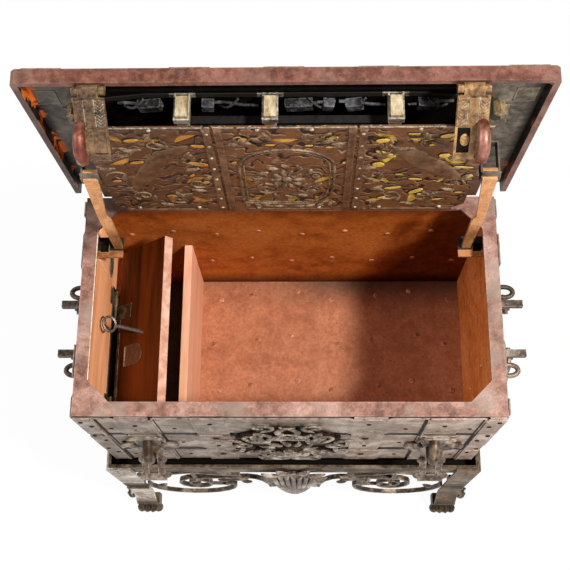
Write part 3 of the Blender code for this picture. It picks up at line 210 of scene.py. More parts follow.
def build_ageing():
    group = bpy.data.node_groups.new("aged_iron", "ShaderNodeTree")
    face = group.interface
    for name, kind in (("Base", "NodeSocketColor"), ("Worn", "NodeSocketColor"), ("Grime", "NodeSocketColor"),
                       ("Size", "NodeSocketFloat"), ("Wear", "NodeSocketFloat"), ("Dirt", "NodeSocketFloat")):
        face.new_socket(name, in_out="INPUT", socket_type=kind)
    for name, kind in (("Color", "NodeSocketColor"), ("Roughness", "NodeSocketFloat"),
                       ("Height", "NodeSocketFloat"), ("Bare", "NodeSocketFloat")):
        face.new_socket(name, in_out="OUTPUT", socket_type=kind)
    give = group.nodes.new("NodeGroupInput")
    take = group.nodes.new("NodeGroupOutput")
    where = group.nodes.new("ShaderNodeTexCoord").outputs["Object"]
    size = give.outputs["Size"]
    broad = noise(group, where, size, 7.0, 0.62)
    middle = noise(group, where, math_node(group, "MULTIPLY", size, 6.0), 5.0, 0.6)
    fine = noise(group, where, math_node(group, "MULTIPLY", size, 26.0), 3.0, 0.6)
    rounded = put(group.nodes, "ShaderNodeBevel", {"samples": 6}, {"Radius": 0.0035})
    straight = group.nodes.new("ShaderNodeNewGeometry")
    agree = put(group.nodes, "ShaderNodeVectorMath", {"operation": "DOT_PRODUCT"})
    group.links.new(rounded.outputs["Normal"], agree.inputs[0])
    group.links.new(straight.outputs["Normal"], agree.inputs[1])
    edge = spread(group, math_node(group, "SUBTRACT", 1.0, agree.outputs["Value"]), 0.01, 0.16)
    rub = math_node(group, "MULTIPLY", edge, spread(group, middle, 0.36, 0.56))
    patch = spread(group, math_node(group, "ADD", broad, math_node(group, "MULTIPLY", middle, 0.35)), 0.66, 0.84)
    bare_and_till_shade = math_node(group, "MULTIPLY", math_node(group, "MAXIMUM", rub, patch), give.outputs["Wear"])
    dirt = math_node(group, "MULTIPLY", spread(group, middle, 0.60, 0.40), spread(group, broad, 0.62, 0.38))
    dirt = math_node(group, "MULTIPLY", dirt, give.outputs["Dirt"])
    colour = mix_colour(group, dirt, give.outputs["Base"], give.outputs["Grime"])
    colour = mix_colour(group, bare_and_till_shade, colour, give.outputs["Worn"])
    shade = spread(group, fine, 0.3, 0.7, 0.72, 1.18)
    grey = put(group.nodes, "ShaderNodeCombineColor")
    for channel in ("Red", "Green", "Blue"):
        group.links.new(shade, grey.inputs[channel])
    colour = mix_colour(group, 1.0, colour, grey.outputs["Color"], "MULTIPLY")
    rough = math_node(group, "SUBTRACT", spread(group, middle, 0.3, 0.7, 0.42, 0.72), math_node(group, "MULTIPLY", bare_and_till_shade, 0.14))
    height = math_node(group, "ADD", math_node(group, "MULTIPLY", middle, 0.6), math_node(group, "MULTIPLY", fine, 0.35))
    group.links.new(colour, take.inputs["Color"])
    group.links.new(rough, take.inputs["Roughness"])
    group.links.new(height, take.inputs["Height"])
    group.links.new(bare_and_till_shade, take.inputs["Bare"])
    return group


AGEING = build_ageing()
print("group", AGEING.name, len(AGEING.nodes), "nodes")

# %% The wood group


def build_wood():
    group = bpy.data.node_groups.new("old_wood", "ShaderNodeTree")
    face = group.interface
    for name, kind in (("Vector", "NodeSocketVector"), ("Light", "NodeSocketColor"), ("Dark", "NodeSocketColor")):
        face.new_socket(name, in_out="INPUT", socket_type=kind)
    for name, kind in (("Color", "NodeSocketColor"), ("Roughness", "NodeSocketFloat"), ("Height", "NodeSocketFloat")):
        face.new_socket(name, in_out="OUTPUT", socket_type=kind)
    give = group.nodes.new("NodeGroupInput")
    take = group.nodes.new("NodeGroupOutput")
    grain = noise(group, give.outputs["Vector"], 60.0, 6.0, 0.6)
    bands = noise(group, give.outputs["Vector"], 14.0, 4.0, 0.55)
    both = math_node(group, "ADD", math_node(group, "MULTIPLY", grain, 0.55), math_node(group, "MULTIPLY", bands, 0.55))
    colour = mix_colour(group, spread(group, both, 0.42, 0.70), give.outputs["Dark"], give.outputs["Light"])
    group.links.new(colour, take.inputs["Color"])
    group.links.new(spread(group, grain, 0.3, 0.7, 0.42, 0.66), take.inputs["Roughness"])
    group.links.new(both, take.inputs["Height"])
    return group


WOOD = build_wood()
print("group", WOOD.name)

# %% The chasing group


def build_chasing():
    group = bpy.data.node_groups.new("chased_sheet", "ShaderNodeTree")
    face = group.interface
    for name, kind in (("Base", "NodeSocketColor"), ("Line", "NodeSocketColor"), ("Ridge", "NodeSocketColor"),
                       ("Scale", "NodeSocketFloat")):
        face.new_socket(name, in_out="INPUT", socket_type=kind)
    for name, kind in (("Color", "NodeSocketColor"), ("Roughness", "NodeSocketFloat"), ("Height", "NodeSocketFloat")):
        face.new_socket(name, in_out="OUTPUT", socket_type=kind)
    give = group.nodes.new("NodeGroupInput")
    take = group.nodes.new("NodeGroupOutput")
    where = group.nodes.new("ShaderNodeTexCoord").outputs["Object"]
    drift = put(group.nodes, "ShaderNodeTexNoise", None, {"Scale": 22.0, "Detail": 2.0})
    group.links.new(where, drift.inputs["Vector"])
    bent = put(group.nodes, "ShaderNodeVectorMath", {"operation": "MULTIPLY_ADD"})
    bent.inputs[1].default_value = (0.13, 0.13, 0.13)
    group.links.new(drift.outputs["Color"], bent.inputs[0])
    group.links.new(where, bent.inputs[2])
    flow = put(group.nodes, "ShaderNodeTexWave", {"wave_type": "RINGS", "rings_direction": "SPHERICAL"},
               {"Distortion": 5.0, "Detail": 1.5, "Detail Scale": 1.3})
    group.links.new(bent.outputs["Vector"], flow.inputs["Vector"])
    group.links.new(give.outputs["Scale"], flow.inputs["Scale"])
    far = flow.outputs["Fac"]
    plain = spread(group, noise(group, where, 11.0, 3.0), 0.53, 0.60)
    worked = math_node(group, "SUBTRACT", 1.0, plain)
    furrow = math_node(group, "MULTIPLY", spread(group, far, 0.20, 0.05), worked)
    # The ridges take a bright colour that is partly worn metal and partly a painted highlight, broken up by painted
    # glints.
    ridge_wear_and_highlight = math_node(group, "MULTIPLY", spread(group, far, 0.20, 0.36), spread(group, far, 0.62, 0.40))
    glint = spread(group, noise(group, where, 60.0, 3.0), 0.46, 0.60)
    ridge_wear_and_highlight = math_node(group, "MULTIPLY", math_node(group, "MULTIPLY", ridge_wear_and_highlight, worked), glint)
    mottle = spread(group, noise(group, where, 42.0, 6.0, 0.65), 0.3, 0.7, 0.62, 1.25)
    grey = put(group.nodes, "ShaderNodeCombineColor")
    for channel in ("Red", "Green", "Blue"):
        group.links.new(mottle, grey.inputs[channel])
    colour = mix_colour(group, 1.0, give.outputs["Base"], grey.outputs["Color"], "MULTIPLY")
    colour = mix_colour(group, furrow, colour, give.outputs["Line"])
    colour = mix_colour(group, ridge_wear_and_highlight, colour, give.outputs["Ridge"])
    height = math_node(group, "MULTIPLY", spread(group, far, 0.0, 0.5), worked)
    group.links.new(colour, take.inputs["Color"])
    group.links.new(spread(group, mottle, 0.62, 1.25, 0.55, 0.40), take.inputs["Roughness"])
    group.links.new(height, take.inputs["Height"])
    return group


CHASING = build_chasing()
print("group", CHASING.name, len(CHASING.nodes), "nodes")

# %% [markdown]
# ## Finishes
# Red brown paint on the rim and lid, copper red paint inside, grey straps outside, brown lock
# covers over an ochre sheet, bright bolts, tan hasps and stays. Where one solid carries two
# finishes, such as a wall that is painted inside and painted nearly black outside as shade, a
# mask from the object's own coordinates divides them.

# %% Make a finish


def new_material(name):
    mat = bpy.data.materials.new(name)
    mat.use_nodes = True
    tree = mat.node_tree
    return mat, tree, tree.nodes["Principled BSDF"]


def aged(tree, base, worn, grime, size, wear, dirt):
    made = tree.nodes.new("ShaderNodeGroup")
    made.node_tree = AGEING
    made.inputs["Base"].default_value = linear(base)
    made.inputs["Worn"].default_value = linear(worn)
    made.inputs["Grime"].default_value = linear(grime)
    made.inputs["Size"].default_value = size
    made.inputs["Wear"].default_value = wear
    made.inputs["Dirt"].default_value = dirt
    return made


def bumped(tree, bsdf, height, strength, distance):
    bump = put(tree.nodes, "ShaderNodeBump", None, {"Strength": strength, "Distance": distance})
    tree.links.new(height, bump.inputs["Height"])
    tree.links.new(bump.outputs["Normal"], bsdf.inputs["Normal"])


def object_axis(tree, direction, offset=0.0):
    """How far a point lies along a direction of the object's own coordinates."""
    where = tree.nodes.new("ShaderNodeTexCoord").outputs["Object"]
    along = put(tree.nodes, "ShaderNodeVectorMath", {"operation": "DOT_PRODUCT"})
    along.inputs[1].default_value = direction
    tree.links.new(where, along.inputs[0])
    return math_node(tree, "SUBTRACT", along.outputs["Value"], offset)


def iron(name, base, worn, grime, size=9.0, wear=0.8, dirt=0.8, metal=0.35, bump=0.35, gloss=0.5):
    mat, tree, bsdf = new_material(name)
    look = aged(tree, base, worn, grime, size, wear, dirt)
    bsdf.inputs["Specular IOR Level"].default_value = gloss
    tree.links.new(look.outputs["Color"], bsdf.inputs["Base Color"])
    tree.links.new(look.outputs["Roughness"], bsdf.inputs["Roughness"])
    bsdf.inputs["Metallic"].default_value = metal
    bumped(tree, bsdf, look.outputs["Height"], bump, 0.002)
    return mat


def two_irons(name, first, second, direction, start, end, metal=0.3, bump=0.35, shades=(), gloss=0.5):
    """Two aged finishes on one solid, divided along a direction, and painted shade in its corners and shadows."""
    mat, tree, bsdf = new_material(name)
    one = aged(tree, *first)
    two = aged(tree, *second)
    fac = spread(tree, object_axis(tree, direction), start, end)
    colour = mix_colour(tree, fac, one.outputs["Color"], two.outputs["Color"])
    bsdf.inputs["Specular IOR Level"].default_value = gloss
    for axis, clear, full, share, painted_shade in shades:
        colour = mix_colour(tree, spread(tree, object_axis(tree, axis), clear, full, 0.0, share), colour, linear(painted_shade))
    tree.links.new(colour, bsdf.inputs["Base Color"])
    tree.links.new(one.outputs["Roughness"], bsdf.inputs["Roughness"])
    bsdf.inputs["Metallic"].default_value = metal
    bumped(tree, bsdf, one.outputs["Height"], bump, 0.002)
    return mat


def wood(name, light, dark, stretch, edge=None, gloss=0.5):
    mat, tree, bsdf = new_material(name)
    bsdf.inputs["Specular IOR Level"].default_value = gloss
    where = tree.nodes.new("ShaderNodeTexCoord").outputs["Object"]
    turn = put(tree.nodes, "ShaderNodeMapping")
    turn.inputs["Scale"].default_value = stretch
    tree.links.new(where, turn.inputs["Vector"])
    made = tree.nodes.new("ShaderNodeGroup")
    made.node_tree = WOOD
    made.inputs["Light"].default_value = linear(light)
    made.inputs["Dark"].default_value = linear(dark)
    tree.links.new(turn.outputs["Vector"], made.inputs["Vector"])
    colour = made.outputs["Color"]
    if edge:
        edge_colour, direction, offset, start = edge
        fac = spread(tree, object_axis(tree, direction, offset), start, start + 0.0005)
        pale = noise(tree, where, 55.0, 5.0)
        tone = mix_colour(tree, spread(tree, pale, 0.35, 0.65), linear("#c08a70"), linear(edge_colour))
        colour = mix_colour(tree, fac, colour, tone)
    tree.links.new(colour, bsdf.inputs["Base Color"])
    tree.links.new(made.outputs["Roughness"], bsdf.inputs["Roughness"])
    bumped(tree, bsdf, made.outputs["Height"], 0.25, 0.0015)
    return mat


def dress(mat, *names):
    for name in names:
        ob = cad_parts[name]
        ob.data.materials.clear()
        ob.data.materials.append(mat)


# %% Finishes of the stand and the outside
strap_grey = ("#7d6e62", "#b5a89b", "#49321f", 15.0, 0.6, 0.9)
# Painted shade: the outside of the walls shows only in the gaps between straps and behind the rail, so it is coloured
# nearly black.
outside_shade = ("#1e1511", "#4a3a30", "#0c0806", 9.0, 0.4, 0.8)
leg_grey = ("#a89b8f", "#ded5ca", "#52402f", 18.0, 0.8, 0.8)
leg_brown = ("#5a4530", "#927a5c", "#2c1d11", 18.0, 0.8, 0.8)
leg_middle = ("#7a6b5c", "#b0a08e", "#3d2e20", 18.0, 0.8, 0.8)
olive_brown = ("#3a2c1b", "#705d43", "#1a120a", 26.0, 0.7, 0.9)
strap_mat = iron("strap_grey", *strap_grey, metal=0.25, bump=0.5, gloss=0.35)
strap_warm = ("#96806f", "#c9b8aa", "#5a3f2a", 15.0, 0.6, 0.9)
dress(two_irons("strap_front", strap_grey, strap_warm, (1.0, 0.0, 0.0), 0.02, 0.30, 0.25, 0.5, (), 0.35), "bands_front")
dress(strap_mat, "bands_back", "bands_left", "bands_right", "lid_bands")
dress(strap_mat, "hinge_leaf_chest_left", "hinge_leaf_chest_right", "hinge_leaf_lid_left", "hinge_leaf_lid_right")
staple_mat = iron("staple_brown", "#65564a", "#ab9d8e", "#261a12", 20.0, 0.85, 1.0, 0.25, 0.35, 0.3)
dress(staple_mat, "handle_plate_left", "handle_plate_right", "staple_left", "staple_right")
scroll_mat = iron("scroll_brown", "#46372b", "#948370", "#1e140d", 22.0, 0.95, 0.9, 0.4)
dress(scroll_mat, "apron_front", "apron_back", "apron_left", "apron_right")
shield_mat = iron("shield_grey", "#75655a", "#bcae9f", "#3a2b20", 20.0, 0.9, 1.0, 0.35, 0.6)
dress(shield_mat, "apron_shield")
handle_mat = iron("handle_iron", "#5c4b40", "#978472", "#2a1f19", 16.0, 0.8, 0.7, 0.5)
dress(handle_mat, "handle_left", "handle_right")
dress(iron("plate_dark", "#1f1711", "#5a4b40", "#0d0806", 20.0, 0.6, 0.9, 0.0, 0.5, 0.0), "escutcheon")
leaf_mat = iron("leaf_brown", "#66564a", "#b9aa98", "#221710", 34.0, 0.95, 1.0, 0.4, 0.6)
paw_mat = iron("paw_brown", *olive_brown, metal=0.2, bump=0.5)
print("outside dressed")

# %% Rail with painted shade in the gap behind it, legs with dark collars
FRAME_INNER = (0.3693, 0.2123)


def between(tree, value, low, high, soft=0.0006):
    return math_node(tree, "MULTIPLY", spread(tree, value, low - soft, low), spread(tree, value, high + soft, high))


def rail_finish():
    """Pale on the outside of the angle ring, painted nearly black as shade in the gap between ring and chest."""
    mat, tree, bsdf = new_material("rail_grey")
    look = aged(tree, "#534537", "#887866", "#2a1e15", 18.0, 0.8, 0.9)
    x = math_node(tree, "ABSOLUTE", object_axis(tree, (1.0, 0.0, 0.0)))
    y = math_node(tree, "ABSOLUTE", object_axis(tree, (0.0, 1.0, 0.0)))
    # Painted shade: the part of the ring inside the gap to the chest is coloured nearly black.
    rail_gap_shade = math_node(tree, "MULTIPLY", between(tree, x, -1.0, FRAME_INNER[0]), between(tree, y, -1.0, FRAME_INNER[1]))
    colour = mix_colour(tree, rail_gap_shade, look.outputs["Color"], linear("#0b0806"))
    tree.links.new(colour, bsdf.inputs["Base Color"])
    tree.links.new(look.outputs["Roughness"], bsdf.inputs["Roughness"])
    bsdf.inputs["Specular IOR Level"].default_value = 0.04
    bumped(tree, bsdf, look.outputs["Height"], 0.4, 0.002)
    return mat


def leg_finish(name, colours):
    mat, tree, bsdf = new_material(name)
    strap = aged(tree, *colours)
    dark = aged(tree, *olive_brown)
    z = object_axis(tree, (0.0, 0.0, 1.0))
    low = math_node(tree, "MAXIMUM", between(tree, z, -1.0, 0.060, 0.020), between(tree, z, 0.197, 0.262, 0.004))
    colour = mix_colour(tree, low, strap.outputs["Color"], dark.outputs["Color"])
    tree.links.new(colour, bsdf.inputs["Base Color"])
    tree.links.new(strap.outputs["Roughness"], bsdf.inputs["Roughness"])
    bsdf.inputs["Metallic"].default_value = 0.1
    bsdf.inputs["Specular IOR Level"].default_value = 0.25
    bumped(tree, bsdf, dark.outputs["Height"], 0.4, 0.002)
    return mat


dress(rail_finish(), "stand_frame")
dress(leg_finish("leg_grey", leg_grey), "leg_fl")
dress(leg_finish("leg_brown", leg_brown), "leg_fr")
dress(leg_finish("leg_middle", leg_middle), "leg_bl", "leg_br")
print("stand dressed")

# %% Finishes of the chest inside
copper = ("#d07a3e", "#dc9a64", "#874620", 6.0, 0.4, 0.5)
back_copper = ("#ba672b", "#cc8442", "#773a14", 5.0, 0.4, 0.7)
salmon = ("#b06c48", "#c2825f", "#8f5231", 7.0, 0.45, 0.6)
WALL_MID = 0.002
# Painted shade at the foot of the back wall, and a painted shadow over its right part.
BACK_SHADES = (((0.0, 0.0, 1.0), 0.490, 0.430, 0.85, "#1f0d05"), ((1.0, 0.0, -0.3), 0.010, 0.060, 0.62, "#1a0802"))
for node_name, inner, direction, half in (
        ("wall_front", copper, (0.0, 1.0, 0.0), 0.196), ("wall_back", back_copper, (0.0, -1.0, 0.0), 0.196),
        ("wall_left", copper, (1.0, 0.0, 0.0), 0.360), ("wall_right", copper, (-1.0, 0.0, 0.0), 0.360)):
    start = -half + WALL_MID
    shades = BACK_SHADES if node_name == "wall_back" else ()
    mat = two_irons(node_name + "_paint", outside_shade, inner, direction, start, start + 0.0006, 0.05, 0.35, shades, 0.02)
    dress(mat, node_name)


def floor_finish():
    """Salmon paint with dark specks, painted shade on the floor inside the till, and a painted shadow along the back on
    the right.
    """
    mat, tree, bsdf = new_material("floor_paint")
    look = aged(tree, *salmon)
    under = aged(tree, *outside_shade)
    where = tree.nodes.new("ShaderNodeTexCoord").outputs["Object"]
    speck = spread(tree, noise(tree, where, 190.0, 3.0, 0.6), 0.66, 0.72, 0.0, 0.75)
    colour = mix_colour(tree, speck, look.outputs["Color"], linear("#4a2514"))
    # Painted shade: the floor inside the till takes the near black colour of the outside.
    bare_and_till_shade = spread(tree, object_axis(tree, (1.0, 0.0, 0.0)), -0.1965, -0.1975)
    below = spread(tree, object_axis(tree, (0.0, 0.0, 1.0)), 0.4242, 0.4235)
    # Painted shadow on the floor along the back wall, on its right part.
    back = math_node(tree, "MULTIPLY", spread(tree, object_axis(tree, (0.0, 1.0, 0.0)), 0.125, 0.185),
                     spread(tree, object_axis(tree, (1.0, 0.0, 0.0)), -0.05, 0.08, 0.25, 0.75))
    colour = mix_colour(tree, back, colour, linear("#2a1208"))
    colour = mix_colour(tree, math_node(tree, "MAXIMUM", bare_and_till_shade, below), colour, under.outputs["Color"])
    tree.links.new(colour, bsdf.inputs["Base Color"])
    tree.links.new(look.outputs["Roughness"], bsdf.inputs["Roughness"])
    bumped(tree, bsdf, look.outputs["Height"], 0.5, 0.002)
    return mat


dress(floor_finish(), "chest_floor")
seat_mat = two_irons(
    "seat_tan_black", ("#a5683a", "#c98a55", "#6b3f1e", 20.0, 0.5, 0.8), ("#150d08", "#3c2614", "#0a0604", 20.0, 0.35, 0.9),
    (0.0, 1.0, 0.0), 0.1080, 0.1090, 0.0, 0.35)
dress(seat_mat, "stay_seat_left", "stay_seat_right")
print("inside dressed")

# %% Scuffed paint of the rim


def scuffed(tree, colours, grey, chip_colour, rubbed):
    """Old paint with rubbed grey patches and small bright chips."""
    look = aged(tree, *colours)
    where = tree.nodes.new("ShaderNodeTexCoord").outputs["Object"]
    patch = spread(tree, noise(tree, where, 12.0, 6.0, 0.65), 0.50, 0.62, 0.0, rubbed)
    colour = mix_colour(tree, patch, look.outputs["Color"], linear(grey))
    fleck = put(tree.nodes, "ShaderNodeTexNoise", None, {"Scale": 120.0, "Detail": 5.0, "Roughness": 0.75, "Distortion": 2.5})
    tree.links.new(where, fleck.inputs["Vector"])
    chip = spread(tree, fleck.outputs["Fac"], 0.62, 0.70)
    chip = math_node(tree, "MULTIPLY", chip, spread(tree, noise(tree, where, 22.0, 3.0), 0.48, 0.56))
    return look, mix_colour(tree, chip, colour, linear(chip_colour))


def rim_finish():
    mat, tree, bsdf = new_material("rim_red")
    look, colour = scuffed(tree, ("#94695a", "#bb998d", "#5c3c31", 11.0, 0.75, 0.9), "#89786c", "#d59a7c", 0.7)
    back = spread(tree, object_axis(tree, (-0.30, 1.0, 0.0)), 0.18, 0.27, 0.0, 0.8)
    colour = mix_colour(tree, back, colour, linear("#251006"))
    tree.links.new(colour, bsdf.inputs["Base Color"])
    tree.links.new(look.outputs["Roughness"], bsdf.inputs["Roughness"])
    bsdf.inputs["Metallic"].default_value = 0.1
    bumped(tree, bsdf, look.outputs["Height"], 0.4, 0.002)
    return mat


rim_mat = rim_finish()
dress(rim_mat, "rim_frame")
print("rim dressed")

# %% [markdown]
# ## The lid's own directions
# The lid stands open, so its pieces are easiest to think of as they lie when it is shut. Two
# directions carry that over: along the lid from the hinge to its free edge, and out of its
# underside. A mask from them keeps the red paint on the lip, rust and painted shade on the lip's
# inner side, and olive grey iron on the underside. Towards the left the underside and the side
# lip are painted darker as shade, and the rust is painted brighter as light.

# %% Directions of the open lid
HINGE = Vector((0.0, 0.216, 0.870))
OPEN = math.radians(87.1)
ALONG = Vector((0.0, -math.cos(OPEN), math.sin(OPEN)))
OUT = Vector((0.0, -math.sin(OPEN), -math.cos(OPEN)))
UNDERSIDE = 0.0005
open_turn = Matrix.Translation(HINGE) @ Matrix.Rotation(-OPEN, 4, "X") @ Matrix.Translation(-HINGE)
open_only = Matrix.Rotation(-OPEN, 4, "X")


def lid_finish():
    mat, tree, bsdf = new_material("lid_red_grey")
    lip, lip_colour = scuffed(tree, ("#774839", "#9a6f62", "#4a2a20", 16.0, 0.6, 0.9), "#7b655a", "#a8705a", 0.3)
    under = aged(tree, "#6f6455", "#9f9484", "#2c241c", 14.0, 0.7, 1.0)
    where = tree.nodes.new("ShaderNodeTexCoord").outputs["Object"]
    u = object_axis(tree, tuple(ALONG), ALONG.dot(HINGE))
    o = object_axis(tree, tuple(OUT), OUT.dot(HINGE))
    x = math_node(tree, "ABSOLUTE", object_axis(tree, (1.0, 0.0, 0.0)))
    inside = math_node(tree, "MULTIPLY", spread(tree, x, 0.3678, 0.3674), spread(tree, u, 0.4208, 0.4204))
    inside = math_node(tree, "MULTIPLY", inside, spread(tree, o, -0.0018, -0.0012))
    edge = math_node(tree, "MAXIMUM", spread(tree, x, 0.352, 0.366), spread(tree, u, 0.400, 0.419))
    # The left mask carries painted shade that darkens the underside and the side lip, more rust, and a painted brighter
    # orange on that rust.
    left = spread(tree, object_axis(tree, (1.0, 0.0, 0.0)), -0.20, -0.36, 0.0, 0.72)
    grown = math_node(tree, "ADD", noise(tree, where, 22.0, 4.0, 0.6), math_node(tree, "MULTIPLY", left, 0.075))
    rust_colour = mix_colour(tree, left, linear("#8f4a1c"), linear("#e0701a"))
    # The lip's inner side is painted near black as shade, with rust patches.
    painted_shade = mix_colour(tree, spread(tree, grown, 0.56, 0.60), linear("#0d0906"), rust_colour)
    under_colour = mix_colour(tree, left, under.outputs["Color"], linear("#191511"))
    under_colour = mix_colour(tree, edge, under_colour, painted_shade)
    lip_colour = mix_colour(tree, math_node(tree, "MULTIPLY", left, spread(tree, u, 0.415, 0.405)), lip_colour,
                            linear("#3c2d28"))
    colour = mix_colour(tree, inside, lip_colour, under_colour)
    tree.links.new(colour, bsdf.inputs["Base Color"])
    tree.links.new(lip.outputs["Roughness"], bsdf.inputs["Roughness"])
    bsdf.inputs["Metallic"].default_value = 0.15
    bumped(tree, bsdf, lip.outputs["Height"], 0.35, 0.002)
    return mat


dress(lid_finish(), "lid_plate")

# %% Finishes of the lock covers
def chased(name, base, line, ridge_wear_and_highlight, scale):
    """Sheet worked from the front with a punch: dark furrows, ridges bright as worn metal and as painted highlight,
    some plain parts.
    """
    mat, tree, bsdf = new_material(name)
    look = tree.nodes.new("ShaderNodeGroup")
    look.node_tree = CHASING
    look.inputs["Base"].default_value = linear(base)
    look.inputs["Line"].default_value = linear(line)
    look.inputs["Ridge"].default_value = linear(ridge_wear_and_highlight)
    look.inputs["Scale"].default_value = scale
    tree.links.new(look.outputs["Color"], bsdf.inputs["Base Color"])
    tree.links.new(look.outputs["Roughness"], bsdf.inputs["Roughness"])
    bsdf.inputs["Metallic"].default_value = 0.2
    bumped(tree, bsdf, look.outputs["Height"], 0.7, 0.003)
    return mat


cover_mat = chased("cover_brown", "#6d4628", "#1a100a", "#a08462", 12.0)
dress(cover_mat, "cover_centre", "cover_right")
dress(chased("cover_dark", "#5a371c", "#160d08", "#917350", 12.0), "cover_left")
plain_brown = iron("plain_brown", "#6b482f", "#92734f", "#3f2717", 18.0, 0.5, 0.8, 0.3, 0.4)
dress(plain_brown, "till_lock_plate")
ochre_mat = two_irons(
    "ochre_sheet", ("#b0721e", "#cc9238", "#6b3f0c", 18.0, 0.6, 0.6), ("#c9a13c", "#dcbb60", "#8f6a1a", 18.0, 0.6, 0.5),
    (1.0, 0.0, 0.0), -0.06, 0.10, 0.0, 0.2)
dress(ochre_mat, "lock_backing")
dark_mat = iron("works_black_and_shade", "#0d0a08", "#2c241d", "#050403", 14.0, 0.3, 0.5, 0.0, 0.35, 0.08)
dress(dark_mat, "lock_case", "lock_frame")
print("covers dressed")

# %% Finishes of bolts, hasps, stays and till
BOLT_BAR_END = 0.328


def bolt_finish():
    """Cream, grained bolt ends on a bar that is nearly black."""
    mat, tree, bsdf = new_material("bolt_steel")
    look = tree.nodes.new("ShaderNodeGroup")
    look.node_tree = WOOD
    look.inputs["Light"].default_value = linear("#d8ccae")
    look.inputs["Dark"].default_value = linear("#86683e")
    where = tree.nodes.new("ShaderNodeTexCoord").outputs["Object"]
    turn = put(tree.nodes, "ShaderNodeMapping")
    turn.inputs["Scale"].default_value = (2.2, 1.0, 0.10)
    tree.links.new(where, turn.inputs["Vector"])
    tree.links.new(turn.outputs["Vector"], look.inputs["Vector"])
    u = object_axis(tree, tuple(ALONG), ALONG.dot(HINGE))
    tip = spread(tree, u, BOLT_BAR_END, BOLT_BAR_END + 0.001)
    tree.links.new(mix_colour(tree, tip, linear("#0e0b09"), look.outputs["Color"]), bsdf.inputs["Base Color"])
    tree.links.new(look.outputs["Roughness"], bsdf.inputs["Roughness"])
    bsdf.inputs["Metallic"].default_value = 0.2
    bumped(tree, bsdf, look.outputs["Height"], 0.25, 0.0015)
    return mat


bolt_mat = bolt_finish()
dress(bolt_mat, "bolts_front")
dress(iron("corner_bolt", "#7c6546", "#b89d70", "#33261a", 40.0, 0.7, 0.9, 0.2, 0.4), "bolt_corner_left", "bolt_corner_right")
guide_mat = iron("guide_steel", "#75695a", "#cabfab", "#332920", 30.0, 0.95, 0.9, 0.5, 0.3)
BOLT_X = (-0.147, -0.021, 0.158)


def guide_finish():
    """Worn bright frames round the three bolts, on a bar that stays dark."""
    mat, tree, bsdf = new_material("guide_frames")
    look = aged(tree, "#7c7060", "#d2c8b5", "#332920", 30.0, 0.95, 0.9)
    x = object_axis(tree, (1.0, 0.0, 0.0))
    near = between(tree, x, BOLT_X[0] - 0.0185, BOLT_X[0] + 0.0185)
    for at in BOLT_X[1:]:
        near = math_node(tree, "MAXIMUM", near, between(tree, x, at - 0.0185, at + 0.0185))
    tree.links.new(mix_colour(tree, near, linear("#2b251e"), look.outputs["Color"]), bsdf.inputs["Base Color"])
    tree.links.new(look.outputs["Roughness"], bsdf.inputs["Roughness"])
    bsdf.inputs["Metallic"].default_value = 0.3
    bumped(tree, bsdf, look.outputs["Height"], 0.3, 0.002)
    return mat


dress(guide_finish(), "bolt_guides")
bracket_grey = iron("bracket_grey", "#4d443a", "#7d7264", "#221b15", 24.0, 0.7, 0.9, 0.2, 0.4)
dress(bracket_grey, "stay_bracket_left", "stay_bracket_right")
# Painted light: the hasps are one iron, a darker shaded copy on the left and a lighter lit copy on the right.
hasp_mats = {
    -1: iron("hasp_shaded_brown", "#624a36", "#94754e", "#302013", 30.0, 0.7, 1.0, 0.3, 0.55),
    1: iron("hasp_tan", "#85623f", "#bb9258", "#452d18", 30.0, 0.75, 1.0, 0.3, 0.55)}
dress(hasp_mats[-1], "hasp_left", "hasp_hinge_left")
dress(hasp_mats[1], "hasp_right", "hasp_hinge_right")
stay_mat = two_irons(
    "stay_tan", ("#8a5a30", "#b98a56", "#4a2e18", 16.0, 0.6, 0.8), ("#cc905e", "#e2b48a", "#96643c", 16.0, 0.55, 0.6),
    (0.0, 0.0, 1.0), 0.880, 0.925, 0.1, 0.25)
dress(stay_mat, "stay_left", "stay_right")
key_mat = iron("key_steel", "#6d635a", "#b3aaa0", "#2c2520", 40.0, 0.9, 0.7, 0.75, 0.3)
dress(key_mat, "till_key")
dress(iron("till_hinge", "#40301f", "#8a765a", "#1b120b", 40.0, 0.7, 0.8, 0.4, 0.3), "till_hinge_board", "till_hinge_lid")
TILL_AXIS = Vector((-0.33745, 0.0, 0.67085))
TILL_TURN = math.radians(44.5)
TILL_DIR = (math.cos(TILL_TURN), 0.0, math.sin(TILL_TURN))
board_mat = wood("board_wood", "#ffbb8c", "#e2935a", (1.0, 0.12, 1.0))
dress(board_mat, "till_board")
dress(wood("till_wall_wood", "#f5ba9a", "#d99a74", (1.0, 0.15, 1.0)), "till_wall")
till_edge = ("#e2b8a4", TILL_DIR, Vector(TILL_DIR).dot(TILL_AXIS), 0.1398)
dress(wood("till_lid_wood", "#7a3605", "#321200", (1.0, 0.10, 1.0), till_edge, 0.12), "till_lid")
print("lock and till dressed")

# %% [markdown]
# ## Tools for the small work
# A smith repeats a few forms: the rivet head, the flat strip with softened edges, the raised
# leaf and the drawn tendril. Each is modelled once with the modelling operators. Copies are
# then laid out on a face, joined into one piece, and told which body carries them.

# %% Frames of the faces that carry ornament


def face_frame(right, up, origin):
    """A frame whose third direction points out of a face."""
    r = Vector(right)
    u = Vector(up)
    n = r.cross(u)
    o = Vector(origin)
    return Matrix(((r.x, u.x, n.x, o.x), (r.y, u.y, n.y, o.y), (r.z, u.z, n.z, o.z), (0.0, 0.0, 0.0, 1.0)))


